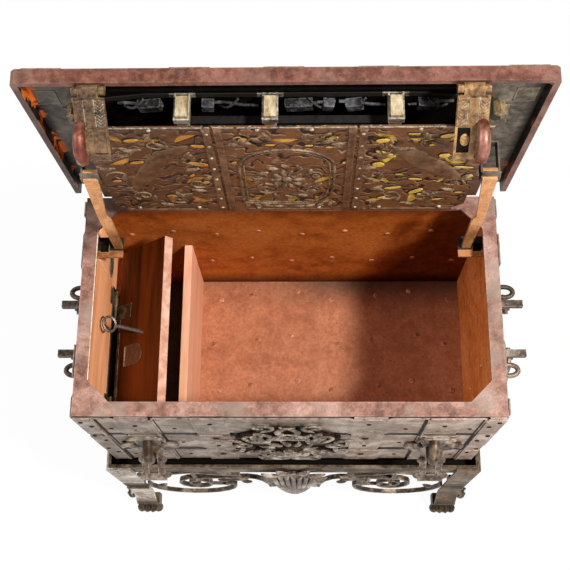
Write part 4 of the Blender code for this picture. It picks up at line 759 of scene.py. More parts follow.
LID_FACE = face_frame((1, 0, 0), ALONG, HINGE - OUT * UNDERSIDE)
COVER_FACE = LID_FACE @ Matrix.Translation((0.0, 0.0, 0.0585))
FRONT_FACE = face_frame((1, 0, 0), (0, 0, 1), (0.0, -0.2008, 0.0))
BACK_INSIDE = face_frame((1, 0, 0), (0, 0, 1), (0.0, 0.192, 0.0))
LEFT_INSIDE = face_frame((0, 1, 0), (0, 0, 1), (-0.356, 0.0, 0.0))
RIGHT_INSIDE = face_frame((0, -1, 0), (0, 0, 1), (0.356, 0.0, 0.0))
FLOOR_INSIDE = Matrix.Translation((0.0, 0.0, 0.426))
KEEPER_FACE = face_frame((1, 0, 0), (0.0, 0.6590, 0.7521), (0.0, -0.2266, 0.602))

# %% Modelling helpers


def deselect():
    if bpy.context.mode != "OBJECT":
        bpy.ops.object.mode_set(mode="OBJECT")
    bpy.ops.object.select_all(action="DESELECT")


def pick(ob, test):
    """Select the points of the edited mesh that pass a test."""
    bm = bmesh.from_edit_mesh(ob.data)
    bm.select_mode = {"VERT"}
    for v in bm.verts:
        v.select_set(bool(test(v.co)))
    bm.select_flush_mode()
    bmesh.update_edit_mesh(ob.data)


def close_up(ob, angle=40.0):
    bpy.ops.mesh.select_all(action="SELECT")
    bpy.ops.mesh.normals_make_consistent(inside=False)
    bpy.ops.object.mode_set(mode="OBJECT")
    bpy.ops.object.shade_smooth_by_angle(angle=math.radians(angle))


def rivet_model():
    deselect()
    bpy.ops.mesh.primitive_uv_sphere_add(segments=12, ring_count=8, radius=1.0)
    ob = bpy.context.object
    bpy.ops.object.mode_set(mode="EDIT")
    bpy.ops.mesh.select_all(action="SELECT")
    bpy.ops.mesh.bisect(plane_co=(0, 0, 0), plane_no=(0, 0, 1), use_fill=True, clear_inner=True)
    pick(ob, lambda c: c.z > 0.9)
    bpy.ops.transform.translate(value=(0, 0, -0.12))
    close_up(ob)
    return ob


def leaf_model():
    """A pointed leaf with a raised middle, one unit long."""
    deselect()
    bpy.ops.mesh.primitive_circle_add(vertices=14, radius=0.5, fill_type="NGON")
    ob = bpy.context.object
    bpy.ops.object.mode_set(mode="EDIT")
    bpy.ops.mesh.select_all(action="SELECT")
    bpy.ops.transform.resize(value=(0.86, 1.0, 1.0))
    pick(ob, lambda c: c.x > 0.42)
    bpy.ops.transform.translate(value=(0.13, 0.10, 0))
    pick(ob, lambda c: c.x < -0.42)
    bpy.ops.transform.translate(value=(-0.04, 0, 0))
    bpy.ops.mesh.select_all(action="SELECT")
    bpy.ops.mesh.extrude_region_move(TRANSFORM_OT_translate={"value": (0, 0, 0.35)})
    bpy.ops.mesh.inset(thickness=0.10, depth=0.0)
    bpy.ops.transform.translate(value=(0, 0, 0.35))
    bpy.ops.mesh.inset(thickness=0.14, depth=0.0)
    bpy.ops.transform.translate(value=(0.05, 0.03, 0.30))
    close_up(ob, 50.0)
    return ob


def strip_model():
    """A flat strip with its upper edges softened, one unit each way."""
    deselect()
    bpy.ops.mesh.primitive_cube_add(size=1.0, location=(0, 0, 0.5))
    ob = bpy.context.object
    bpy.ops.object.transform_apply(location=True)
    bpy.ops.object.mode_set(mode="EDIT")
    pick(ob, lambda c: c.z > 0.9)
    bpy.ops.mesh.inset(thickness=0.06, depth=0.0)
    bpy.ops.transform.translate(value=(0, 0, 0.18))
    close_up(ob, 20.0)
    return ob


MODELS = {"rivet": rivet_model(), "leaf": leaf_model(), "strip": strip_model()}
for model in MODELS.values():
    model.hide_render = True
print("models", {k: len(v.data.polygons) for k, v in MODELS.items()})


def lay(name, model, frame_of, places, mat, body):
    """Copy a model to places on a face. A place is x, y, lift, length, width, height, turn."""
    made = []
    for x, y, lift, sx, sy, sz, turn in places:
        ob = MODELS[model].copy()
        ob.data = MODELS[model].data.copy()
        bpy.context.collection.objects.link(ob)
        local = Matrix.Translation((x, y, lift)) @ Matrix.Rotation(math.radians(turn), 4, "Z")
        ob.matrix_world = frame_of @ local @ Matrix.Diagonal((sx, sy, sz, 1.0))
        ob.hide_render = False
        made.append(ob)
    return join_up(name, made, mat, body)


def join_up(name, made, mat, body):
    deselect()
    for ob in made:
        ob.select_set(True)
    bpy.context.view_layer.objects.active = made[0]
    bpy.ops.object.make_single_user(object=True, obdata=True)
    bpy.ops.object.transform_apply(location=True, rotation=True, scale=True)
    if len(made) > 1:
        bpy.ops.object.join()
    ob = bpy.context.view_layer.objects.active
    ob.name = name
    ob.data.name = name
    ob.data.materials.clear()
    ob.data.materials.append(mat)
    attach(ob, body)
    print(name, len(ob.data.polygons), "faces on", body)
    return ob


def drawn(name, frame_of, lines, mat, body):
    """Round bars along lines on a face. A line is a list of x, y, lift and bar radius."""
    made = []
    for line in lines:
        deselect()
        bpy.ops.curve.primitive_nurbs_path_add()
        ob = bpy.context.object
        spline = ob.data.splines[0]
        spline.points.add(max(0, len(line) - len(spline.points)))
        for point, (x, y, lift, radius) in zip(spline.points, line):
            point.co = (x, y, lift, 1.0)
            point.radius = radius
        spline.order_u = 3
        spline.use_endpoint_u = True
        spline.resolution_u = 3
        ob.data.dimensions = "3D"
        ob.data.bevel_depth = 1.0
        ob.data.bevel_resolution = 2
        ob.data.use_fill_caps = True
        bpy.ops.object.convert(target="MESH")
        ob = bpy.context.object
        bpy.ops.object.shade_smooth_by_angle(angle=math.radians(50.0))
        ob.matrix_world = frame_of.copy()
        made.append(ob)
    return join_up(name, made, mat, body)


def spiral(cx, cy, radius, start, turn, steps, lift, thick, inner=0.2):
    """A tendril that winds inward and grows thinner."""
    line = []
    for i in range(steps + 1):
        t = i / steps
        w = math.radians(start + turn * t)
        r = radius * (1.0 - (1.0 - inner) * t)
        line.append((cx + r * math.cos(w), cy + r * math.sin(w), lift, thick * (1.0 - 0.45 * t)))
    return line


# %% Finishes of the small work
rivet_bright = iron("rivet_bright", "#96826a", "#d6c8b2", "#4a3a2c", 60.0, 0.9, 0.9, 0.4, 0.2)
dark_rivet_and_shade = iron("dark_rivet_and_shade", "#19110c", "#43342a", "#0a0705", 40.0, 0.4, 0.6, 0.0, 0.2, 0.08)
rivet_copper = iron("rivet_copper", "#a8623a", "#dca482", "#5a2c14", 40.0, 0.8, 0.7, 0.1, 0.2)
relief_mat = iron("relief_brown", "#62462e", "#9c8565", "#26190f", 40.0, 0.8, 1.0, 0.2, 0.5)
polished_red = iron("ring_red", "#7a3f30", "#b98a78", "#3d1c14", 24.0, 0.6, 0.5, 0.55, 0.15)
ring_brown = iron("ring_brown", "#3f2c1e", "#86705a", "#1c120b", 24.0, 0.8, 0.8, 0.5, 0.2)
steel_dark = iron("spring_steel", "#201f1f", "#6f7073", "#0a0908", 34.0, 0.8, 1.0, 0.0, 0.2, 0.3)
edge_highlight = iron("edge_highlight", "#c7ac92", "#e2cfbb", "#8a6a52", 30.0, 0.7, 0.8, 0.0, 0.2)
tongue_mat = iron("tongue_gold", "#b98f54", "#dcb987", "#5c3f20", 40.0, 0.8, 0.8, 0.2, 0.3)
print("small finishes made")

# %% [markdown]
# ## Lock covers
# Three thin sheets are chased with foliage and riveted down along their seams. Leaf shaped
# openings show an ochre sheet behind. Strips cover the seams, bright rivets hold them, and a
# few leaves and tendrils stand up higher than the chasing. The middle sheet has an arched frame
# round a rosette. The openings here are thin ochre leaves, each over a dark leaf that gives it
# the shadow of an edge, because so many small holes would cost many faces.

# %% Seam strips and rivets of the covers
COVER_U = (0.0385, 0.3730)
cover_len = COVER_U[1] - COVER_U[0]
cover_mid = sum(COVER_U) / 2
strips = []
for x in (-0.104, 0.104):
    strips.append((x - 0.008, cover_mid, 0.0, 0.011, cover_len, 0.0018, 0))
    strips.append((x + 0.008, cover_mid, 0.0, 0.011, cover_len, 0.0018, 0))
for x0, x1 in ((-0.294, -0.120), (-0.088, 0.088), (0.120, 0.294)):
    strips.append(((x0 + x1) / 2, COVER_U[0] + 0.006, 0.0, (x1 - x0) * 0.8, 0.008, 0.0012, 0))
lay("cover_strips", "strip", COVER_FACE, strips, plain_brown, "lid")
bright_edge = []
for x0, x1 in ((-0.294, -0.106), (-0.102, 0.102), (0.106, 0.294)):
    bright_edge.append(((x0 + x1) / 2, COVER_U[1] - 0.0008, 0.0, x1 - x0, 0.0022, 0.0012, 0))
lay("cover_bright_edges", "strip", COVER_FACE, bright_edge, guide_mat, "lid")
heads = []
for x in (-0.112, 0.112):
    for k in range(8):
        heads.append((x, COVER_U[0] + 0.02 + k * (cover_len - 0.04) / 7, 0.0015, 0.0030, 0.0030, 0.0024, 0))
for k in range(8):
    heads.append((-0.270 + k * 0.077, COVER_U[1] - 0.009, 0.0, 0.0034, 0.0034, 0.0026, 0))
for k in range(6):
    heads.append((-0.255 + k * 0.102, COVER_U[0] + 0.016, 0.0, 0.0036, 0.0036, 0.0028, 0))
lay("cover_rivets", "rivet", COVER_FACE, heads, rivet_bright, "lid")

# %% Leaf openings with painted shadows on their edges
openings_right = (
    (0.141, 0.325, 0.024, 0.015, 20), (0.149, 0.277, 0.046, 0.013, -38), (0.140, 0.237, 0.022, 0.020, 30),
    (0.233, 0.341, 0.027, 0.013, 25), (0.237, 0.270, 0.020, 0.016, 5), (0.232, 0.240, 0.016, 0.010, 0),
    (0.272, 0.225, 0.036, 0.009, -8), (0.284, 0.189, 0.018, 0.015, 40), (0.184, 0.348, 0.021, 0.006, 0),
    (0.216, 0.310, 0.016, 0.008, 25), (0.175, 0.198, 0.015, 0.007, 0), (0.202, 0.178, 0.027, 0.009, -12),
    (0.169, 0.141, 0.034, 0.011, 14), (0.208, 0.126, 0.036, 0.013, 48), (0.222, 0.110, 0.026, 0.011, -20),
    (0.154, 0.097, 0.018, 0.011, 35), (0.246, 0.089, 0.021, 0.007, 12), (0.278, 0.120, 0.014, 0.006, 0),
    (0.141, 0.174, 0.014, 0.011, 35), (0.190, 0.074, 0.010, 0.008, 0))
openings_left = (
    (-0.224, 0.330, 0.027, 0.012, 12), (-0.261, 0.275, 0.026, 0.009, -5), (-0.228, 0.249, 0.027, 0.011, 14),
    (-0.129, 0.309, 0.026, 0.011, -10), (-0.135, 0.242, 0.038, 0.016, -22), (-0.272, 0.175, 0.018, 0.010, 12),
    (-0.131, 0.167, 0.015, 0.011, 35), (-0.193, 0.108, 0.022, 0.013, 8), (-0.150, 0.196, 0.014, 0.007, 60))
openings_middle = (
    (0.068, 0.335, 0.021, 0.009, 15), (0.034, 0.309, 0.014, 0.007, 0), (0.088, 0.245, 0.012, 0.007, 80),
    (0.064, 0.303, 0.013, 0.006, 0), (-0.062, 0.330, 0.018, 0.012, 35), (-0.023, 0.312, 0.018, 0.006, 0),
    (-0.080, 0.247, 0.011, 0.008, 60))
shadow_leaves = []
ochre_leaves = []
for x, u, length, width, turn in openings_right + openings_left + openings_middle:
    shadow_leaves.append((x - 0.0012, u + 0.0022, -0.0001, length * 1.14, width * 1.35, 0.0005, turn))
    ochre_leaves.append((x, u, 0.0001, length, width, 0.0006, turn))
lay("opening_edge_shadows", "leaf", COVER_FACE, shadow_leaves, dark_rivet_and_shade, "lid")
lay("opening_sheets", "leaf", COVER_FACE, ochre_leaves, ochre_mat, "lid")

# %% Plates between the covers and the stays
wings = []
for s in (-1, 1):
    wings.append((s * 0.3060, 0.0810, 0.0295, 0.0310, 0.0880, 0.0028, 0))
lay("cover_side_plates", "strip", LID_FACE, wings, plain_brown, "lid")

# %% Raised leaves and tendrils of the side covers
plain_mats = {
    "left": iron("plain_dark", "#5a3b23", "#7d5e3f", "#362112", 18.0, 0.5, 0.8, 0.2, 0.4, 0.3), "right": plain_brown}
BROAD_LEAVES = {
    "left": [(-0.214, 0.216, 0.0, 0.190, 0.034, 0.0011, 65), (-0.180, 0.278, 0.0, 0.110, 0.030, 0.0010, 40),
             (-0.246, 0.160, 0.0, 0.090, 0.028, 0.0010, 88)],
    "right": [(0.220, 0.235, 0.0, 0.160, 0.044, 0.0020, -49), (0.186, 0.280, 0.0, 0.070, 0.034, 0.0018, -30),
              (0.254, 0.196, 0.0, 0.070, 0.030, 0.0018, -62)]}
for s, tag in ((-1, "left"), (1, "right")):
    cx = s * 0.202
    lay("cover_broad_leaf_" + tag, "leaf", COVER_FACE, BROAD_LEAVES[tag], plain_mats[tag], "lid")
    leaves = []
    for k in range(18):
        w = math.radians(k * 20 + 8)
        rx = 0.056 + 0.022 * (k % 3) / 2
        ru = 0.096 + 0.038 * ((k + 1) % 3) / 2
        turn = math.degrees(w) + (75 if k % 2 else 15)
        leaves.append((cx + rx * math.cos(w), 0.205 + ru * math.sin(w), 0.0, 0.030, 0.009, 0.0028, turn))
    lay("cover_leaves_" + tag, "leaf", COVER_FACE, leaves, relief_mat, "lid")
    lines = []
    for k in range(7):
        w = math.radians(k * 360 / 7 + 30)
        x = cx + 0.064 * math.cos(w)
        u = 0.205 + 0.112 * math.sin(w)
        lines.append(spiral(x, u, 0.020, k * 60, s * 420, 14, 0.0006, 0.0017))
    drawn("cover_tendrils_" + tag, COVER_FACE, lines, relief_mat, "lid")

# %% Arched frame and rosette of the middle cover
lines = []
for inset, thick in ((0.0, 0.0022), (0.007, 0.0012)):
    half = 0.074 - inset
    low = 0.080 + inset
    arch = [(-half, low, 0.0006, thick)]
    for k in range(13):
        w = math.radians(180 - k * 15)
        arch.append((half * math.cos(w), 0.235 + (0.062 - inset) * math.sin(w), 0.0006, thick))
    arch += [(half, low, 0.0006, thick), (0.0, low - 0.010, 0.0006, thick), (-half, low, 0.0006, thick)]
    lines.append(arch)
for s in (-1, 1):
    lines.append(spiral(s * 0.036, 0.140, 0.024, 90, s * 460, 16, 0.0006, 0.0019))
    lines.append(spiral(s * 0.044, 0.196, 0.017, 200, -s * 420, 14, 0.0006, 0.0017))
    lines.append(spiral(s * 0.066, 0.335, 0.018, 90, s * 420, 14, 0.0006, 0.0020))
drawn("centre_frame", COVER_FACE, lines, relief_mat, "lid")
petals = []
for k in range(10):
    w = math.radians(k * 36)
    petals.append((0.018 * math.cos(w), 0.180 + 0.026 * math.sin(w), 0.0, 0.024, 0.009, 0.0036, k * 36))
for k in range(14):
    w = math.radians(k * 360 / 14 + 15)
    petals.append((0.048 * math.cos(w), 0.168 + 0.064 * math.sin(w), 0.0, 0.024, 0.008, 0.0030, k * 26 + 60))
for s in (-1, 1):
    for k in range(4):
        petals.append((s * (0.026 + 0.017 * k), 0.338 - 0.008 * k, 0.0, 0.026, 0.009, 0.0030, 90 - s * (25 + 22 * k)))
        petals.append((s * (0.018 + 0.017 * k), 0.060 + 0.003 * k, 0.0, 0.024, 0.008, 0.0028, s * 30 * k))
lay("centre_leaves", "leaf", COVER_FACE, petals, relief_mat, "lid")
lay("centre_boss", "rivet", COVER_FACE, [(0, 0.180, 0.0, 0.009, 0.009, 0.006, 0)], relief_mat, "lid")

# %% [markdown]
# ## Works in the lock
# Between the lip and the covers the lock is open. A dark sheet closes the back, and flat
# springs, levers and pins of grey steel press on the bolts. They are mostly in the dark, so a
# few bars and blocks are enough to catch the light.

# %% Dark sheet, springs and levers
lay("lock_sheet", "strip", LID_FACE, [(0.0, 0.2280, 0.0002, 0.566, 0.314, 0.0008, 0)], dark_mat, "lid")
lines = []
for x, s in ((-0.222, 1), (-0.085, 1), (0.052, -1), (0.098, 1), (0.222, -1)):
    spring = []
    for k in range(9):
        t = k / 8
        spring.append((x + s * (0.030 * t - 0.012), 0.335 + 0.020 * t, 0.005 + 0.009 * math.sin(math.pi * t), 0.0020))
    lines.append(spring)
    lines.append([(x - s * 0.020, 0.346, 0.006, 0.0026), (x, 0.350, 0.008, 0.0026), (x + s * 0.024, 0.344, 0.010, 0.0026),
                  (x + s * 0.040, 0.348, 0.012, 0.0022), (x + s * 0.046, 0.350, 0.0135, 0.0020)])
drawn("lock_springs", LID_FACE, lines, steel_dark, "lid")
levers = []
for x, w, turn in ((-0.196, 0.034, 8), (-0.112, 0.018, -6), (0.020, 0.040, 5), (0.062, 0.016, -10),
                   (0.100, 0.024, 12), (0.205, 0.030, -8)):
    levers.append((x, 0.343, 0.003, w, 0.016, 0.0115, turn))
lay("lock_levers", "strip", LID_FACE, levers, steel_dark, "lid")

# %% Plates in the corners of the lid
corner_lit_olive = iron("corner_lit_olive", "#62533f", "#a6977f", "#2e2419", 30.0, 0.8, 0.9, 0.3, 0.3)
# Painted light: the right plates are a lighter olive as if lit, the left ones take the darker grey of the brackets as
# if shaded.
for s, tag, mat in ((-1, "left", bracket_grey), (1, "right", corner_lit_olive)):
    plates = [(s * 0.3400, 0.400, -0.0001, 0.044, 0.030, 0.0003, 0),
              (s * 0.3450, 0.352, -0.0001, 0.034, 0.044, 0.0003, 0),
              (s * 0.3140, 0.290, -0.0001, 0.034, 0.060, 0.0012, s * 4)]
    lay("corner_plates_" + tag, "strip", LID_FACE, plates, mat, "lid")

# %% [markdown]
# ## Hasps and padlock staples
# Each hasp is a tan strap filed into three strips with pale grooves between them and slanting
# nicks, and it ends in a thick worn half ring for the padlock. The rings are polished by use,
# so they are dressed in a smooth red brown sleeve. A pale tongue shows in the slot.

# %% Strips, grooves and nicks of the hasps
HASP_AT = {-1: -0.268, 1: 0.2585}
HASP_LEAN = math.radians(40.0)
HASP_PIN = Vector((0.0, -0.209, 0.844))
hasp_dir = Vector((0.0, math.cos(HASP_LEAN), -math.sin(HASP_LEAN)))
hasp_out = Vector((0.0, -math.sin(HASP_LEAN), -math.cos(HASP_LEAN)))
hasp_faces = {}
for s, tag, body in ((-1, "left", "hasp_l"), (1, "right", "hasp_r")):
    root = open_turn @ (HASP_PIN + hasp_out * 0.0077 + Vector((HASP_AT[s], 0.0, 0.0)))
    plate = face_frame((-1, 0, 0), open_only @ hasp_dir, root)
    hasp_faces[s] = plate
    strips = []
    grooves = []
    for k in (-1, 0, 1):
        high = 0.1030 if k * s < 0 else 0.0530
        strips.append((k * 0.0150, (0.0100 + high) / 2, -0.0002, 0.0136, high - 0.0100, 0.0014, 0))
    for k in (-1, 1):
        grooves.append((k * 0.0075, 0.0320, 0.0, 0.0013, 0.0440, 0.0014, 0))
    lay("hasp_strips_" + tag, "strip", plate, strips, hasp_mats[s], body)
    nicks = []
    for k in range(8):
        for side in ((-1, 1) if s > 0 else (-1,)):
            nicks.append((side * 0.0150 - 0.003, 0.014 + k * 0.0050, 0.0013, 0.0074, 0.0008, 0.0004, 40))
            nicks.append((side * 0.0150 + 0.003, 0.014 + k * 0.0050, 0.0013, 0.0074, 0.0008, 0.0004, -40))
    lay("hasp_nicks_" + tag, "strip", plate, nicks + grooves, guide_mat, body)

# %% Rings and tongues of the hasps
# Painted shade: the slot of the right hasp is a dark sheet standing for the shade in the opening.
slot_mats = {-1: hasp_mats[-1], 1: dark_mat}
for s, tag, body in ((-1, "left", "hasp_l"), (1, "right", "hasp_r")):
    ring = []
    for k in range(15):
        w = math.pi * k / 14
        thick = 0.0080 + 0.0012 * math.sin(w)
        ring.append((-s * 0.0150, 0.0745 + 0.0262 * math.cos(w), -0.0015 + 0.0262 * math.sin(w), thick))
    drawn("hasp_ring_" + tag, hasp_faces[s], [ring], polished_red, body)
    slot = [(s * 0.0075, 0.0745, -0.0026, 0.024, 0.038, 0.0005, 0)]
    lay("hasp_slot_" + tag, "strip", hasp_faces[s], slot, slot_mats[s], body)
tongue = [(0.0080, 0.0745, -0.0020, 0.022, 0.013, 0.0030, 90)]
lay("hasp_tongue_right", "leaf", hasp_faces[1], tongue, tongue_mat, "hasp_r")

# %% Rings and ears of the staples on the front
for s, tag in ((-1, "left"), (1, "right")):
    x = s * 0.2625
    ring = []
    for k in range(15):
        w = math.pi * k / 14 - math.pi / 2
        out = 0.0035 + 0.0302 * math.cos(w)
        ring.append((x - s * 0.004, 0.665 + 0.0302 * math.sin(w), out, 0.0090 + 0.0014 * math.cos(w)))
    drawn("staple_ring_" + tag, FRONT_FACE, [ring], ring_brown, "stand_and_chest")
    curls = []
    for k in (-1, 1):
        curls.append(spiral(x + k * 0.033, 0.640, 0.017, 90 - k * 90, k * 430, 14, 0.004, 0.0058))
        curls.append(spiral(x + k * 0.026, 0.700, 0.013, 270, -k * 400, 12, 0.004, 0.0048))
    drawn("staple_curls_" + tag, FRONT_FACE, curls, staple_mat, "stand_and_chest")
    wings = []
    for k in (-1, 1):
        wings.append((x + k * 0.030, 0.602, 0.0, 0.050, 0.022, 0.0060, 90 - k * 30))
    lay("staple_wings_" + tag, "leaf", FRONT_FACE, wings, staple_mat, "stand_and_chest")
    lobes = []
    for k in (-1, 1):
        lobes += [(x + k * 0.0185, 0.002, -0.001, 0.0085, 0.0085, 0.0055, 0),
                  (x + k * 0.0250, -0.036, -0.001, 0.0090, 0.0070, 0.0040, k * 20)]
    lay("staple_lobes_" + tag, "rivet", KEEPER_FACE, lobes, staple_mat, "stand_and_chest")

# %% [markdown]
# ## Front of the chest
# The straps are held by small dark rivets and a few broad studs. Thin raised edges run down
# beside the wide upright straps, and the hollows between the straps are filled with dark strips of
# painted shade. In the middle sits the false lock plate: a wreath of scrolls and leaves round a boss.

# %% Rivets, studs and painted shade in the hollows of the front
ROW_DOWN = -0.0027
dots = []
for s in (-1, 1):
    for k, z in enumerate((0.840, 0.806, 0.720, 0.676, 0.590, 0.550)):
        dots.append((s * (0.338 if k % 2 else 0.350), z, 0.0, 0.0044, 0.0044, 0.0026, 0))
    for z in (0.776, 0.645, 0.516):
        dots.append((s * 0.200, z, ROW_DOWN, 0.0044, 0.0044, 0.0026, 0))
        dots.append((s * 0.310, z, ROW_DOWN, 0.0042, 0.0042, 0.0026, 0))
    for x, z in ((0.134, 0.826), (0.136, 0.622), (0.2625, 0.812), (0.2625, 0.545)):
        dots.append((s * x, z, 0.0, 0.0044, 0.0044, 0.0026, 0))
lay("front_rivets", "rivet", FRONT_FACE, dots, dark_rivet_and_shade, "stand_and_chest")
studs = []
centres = []
for s in (-1, 1):
    for z in (0.700, 0.535):
        studs.append((s * 0.134, z, 0.0, 0.0130, 0.0130, 0.0016, 0))
        centres.append((s * 0.134, z, 0.0010, 0.0068, 0.0068, 0.0030, 0))
lay("front_studs", "rivet", FRONT_FACE, studs, plain_brown, "stand_and_chest")
lay("stud_centres", "rivet", FRONT_FACE, centres, dark_rivet_and_shade, "stand_and_chest")
SIDE_FACES = {"left": face_frame((0, -1, 0), (0, 0, 1), (-0.3648, 0.0, 0.0)),
              "right": face_frame((0, 1, 0), (0, 0, 1), (0.3648, 0.0, 0.0))}
BACK_FACE = face_frame((-1, 0, 0), (0, 0, 1), (0.0, 0.2008, 0.0))
LID_TOP = face_frame((-1, 0, 0), ALONG, HINGE - OUT * 0.0093)
STRAP_ROWS = (0.798, 0.655, 0.515)
for tag, face in SIDE_FACES.items():
    dots = []
    for y in (-0.178, -0.100, 0.100, 0.178):
        for z in STRAP_ROWS:
            dots += [(y, z + d, 0.0, 0.0050, 0.0050, 0.0030, 0) for d in (-0.032, 0.032)]
    lay("side_rivets_" + tag, "rivet", face, dots, dark_rivet_and_shade, "stand_and_chest")
dots = []
for x in (-0.345, -0.2625, -0.136, 0.136, 0.2625, 0.345):
    for z in STRAP_ROWS[1:]:
        dots += [(x, z + d, 0.0, 0.0050, 0.0050, 0.0030, 0) for d in (-0.032, 0.032)]
lay("back_rivets", "rivet", BACK_FACE, dots, dark_rivet_and_shade, "stand_and_chest")
dots = []
for x in (-0.335, -0.130, 0.0, 0.130, 0.335):
    for u in (0.251, 0.391):
        dots += [(x + d, u, 0.0, 0.0050, 0.0050, 0.0026, 0) for d in (-0.015, 0.015)]
lay("lid_rivets", "rivet", LID_TOP, dots, dark_rivet_and_shade, "lid")
edges = []
# Painted shade: dark strips in the hollows between strap rows and beside the raised edges.
gaps = []
for s in (-1, 1):
    for x in (0.2320, 0.3280):
        edges.append((s * x, 0.662, -0.0026, 0.0040, 0.392, 0.0042, 0))
        gaps.append((s * (x - 0.0045), 0.662, -0.0022, 0.0050, 0.390, 0.0006, 0))
lay("front_edges", "strip", FRONT_FACE, edges, strap_mat, "stand_and_chest")
for z, tall in ((0.726, 0.0215), (0.5795, 0.0285)):
    for x0, x1 in ((-0.326, -0.294), (-0.230, -0.168), (-0.104, 0.104), (0.168, 0.230), (0.294, 0.326)):
        gaps.append(((x0 + x1) / 2, z, -0.0049, x1 - x0, tall, 0.0023, 0))
lay("front_hollow_shade", "strip", FRONT_FACE, gaps, dark_rivet_and_shade, "stand_and_chest")

# %% Wreath of the false lock plate


def frond(x, y, length, turn, curl, lift, thick, steps=7):
    """A curling pointed leaf: thick near its root, thin at its tip."""
    line = []
    for i in range(steps + 1):
        t = i / steps
        line.append((x, y, lift + 0.35 * thick * math.sin(math.pi * t), thick * (0.55 + 1.2 * t) * (1.0 - t) + 0.0007))
        w = math.radians(turn + curl * t)
        x += length / steps * math.cos(w)
        y += length / steps * math.sin(w)
    return line


ESC = (-0.004, 0.655)
PLATE_FACE = FRONT_FACE @ Matrix.Translation((ESC[0], ESC[1], 0.0050))
lines = []
for s in (-1, 1):
    for t in (-1, 1):
        lines.append(spiral(s * 0.060, t * 0.078, 0.038, 90 * t, s * t * 440, 18, 0.003, 0.0052))
        lines.append(spiral(s * 0.046, t * 0.152, 0.026, -90 * t, -s * t * 400, 14, -0.002, 0.0044))
        for k in range(5):
            turn = t * (10 + 38 * k)
            turn = turn if s > 0 else 180 - turn
            lines.append(frond(s * 0.034, t * (0.040 + 0.010 * k), 0.074, turn, s * t * 90, 0.004, 0.0075))
        lines.append(frond(s * 0.010, t * 0.110, 0.080, t * 90 - s * 30, s * t * 120, 0.002, 0.0080))
        lines.append(frond(s * 0.086, t * 0.030, 0.060, 90 * t, -s * t * 130, 0.002, 0.0070))
    lines.append(spiral(s * 0.088, 0.0, 0.022, 90, s * 430, 14, 0.002, 0.0046))
for k in range(10):
    w = math.radians(k * 36 + 18)
    lines.append(frond(0.014 * math.cos(w), 0.020 * math.sin(w), 0.042, k * 36 + 18, 50, 0.006, 0.0085))
drawn("plate_scrolls", PLATE_FACE @ Matrix.Diagonal((1.0, 1.0, 0.6, 1.0)), lines, leaf_mat, "stand_and_chest")
studs = [(0.0, 0.0, 0.010, 0.011, 0.015, 0.007, 0)]
for s in (-1, 1):
    for t in (-1, 1):
        studs.append((s * 0.060, t * 0.078, 0.0, 0.009, 0.012, 0.006, 0))
lay("plate_knobs", "rivet", PLATE_FACE, studs, leaf_mat, "stand_and_chest")

# %% [markdown]
# ## Stand
# The scroll bars carry small forged leaves where they split. The shell in the middle has ribs
# that spread from its foot and a collar of leaves where it hangs on the rail. The paws get
# rounded toes and knuckles.

# %% Shell ribs and leaves
APRON_FACE = face_frame((1, 0, 0), (0, 0, 1), (0.0, -0.2263, 0.0))
ribs = []
for k in range(-3, 4):
    ribs.append([(0.002 * k, 0.130, 0.0, 0.0030), (0.006 * k, 0.190, 0.003, 0.0046), (0.010 * k, 0.270, 0.004, 0.0058),
                 (0.0125 * k, 0.340, 0.003, 0.0060), (0.0135 * k, 0.400 - 0.006 * abs(k), 0.001, 0.0050)])
drawn("shell_ribs", APRON_FACE, ribs, shield_mat, "stand_and_chest")
fan = []
for s in (-1, 1):
    for x, z, length, turn in ((0.046, 0.412, 0.052, 25), (0.052, 0.372, 0.046, -10), (0.050, 0.326, 0.044, -40),
                               (0.022, 0.436, 0.050, 60), (0.042, 0.280, 0.040, -60)):
        fan.append((s * x, z, -0.002, length, 0.018, 0.0070, turn if s > 0 else 180 - turn))
lay("shell_leaves", "leaf", APRON_FACE, fan, shield_mat, "stand_and_chest")
SCROLL_FACE = face_frame((1, 0, 0), (0, 0, 1), (0.0, -0.2200, 0.0))
sprigs = []
for s in (-1, 1):
    for x, z, length, turn in ((0.120, 0.300, 0.052, 20), (0.150, 0.286, 0.046, -30), (0.105, 0.262, 0.046, 60),
                               (0.292, 0.342, 0.044, 40), (0.300, 0.196, 0.044, -60), (0.138, 0.330, 0.040, -10)):
        sprigs.append((s * x, z, -0.004, length, 0.016, 0.006, turn if s > 0 else 180 - turn))
lay("scroll_leaves", "leaf", SCROLL_FACE, sprigs, scroll_mat, "stand_and_chest")

# %% Toes and knuckles of the paws
FLOOR_FACE = Matrix.Identity(4)
lumps = []
for sx in (-1, 1):
    for sy in (-1, 1):
        for k in (-1.5, -0.5, 0.5, 1.5):
            across = 0.0135 * k
            lumps.append((sx * 0.3563 + across, sy * 0.2450, 0.0, 0.0112, 0.0130 - 0.001 * abs(k), 0.0200, 0))
            lumps.append((sx * 0.3563 + across * 0.8, sy * 0.2330, 0.016, 0.0105, 0.0110, 0.0240, 0))
            lumps.append((sx * 0.4020, sy * 0.1940 + across * 0.9, 0.0, 0.0130 - 0.001 * abs(k), 0.0108, 0.0200, 0))
lay("paw_lumps", "rivet", FLOOR_FACE, lumps, paw_mat, "stand_and_chest")

# %% [markdown]
# ## Handles
# Each drop handle ends in two forged loops beside the flat bars. A loop is one closed ring of
# round iron round the handle's own axis, so it turns with the handle and touches nothing.

# %% Loops beside the handles
END_TOP = Matrix.Translation((0.0, 0.0, 0.698))
for s, tag, body in ((-1, "left", "bail_l"), (1, "right", "bail_r")):
    loops = []
    for t in (-1, 1):
        loop = []
        for k in range(17):
            w = math.radians(k * 360 / 16)
            loop.append((s * (0.400 + 0.017 * math.cos(w)), t * (0.0755 + 0.0105 * math.sin(w)), 0.0, 0.0048))
        loops.append(loop)
    drawn("handle_loops_" + tag, END_TOP, loops, handle_mat, body)

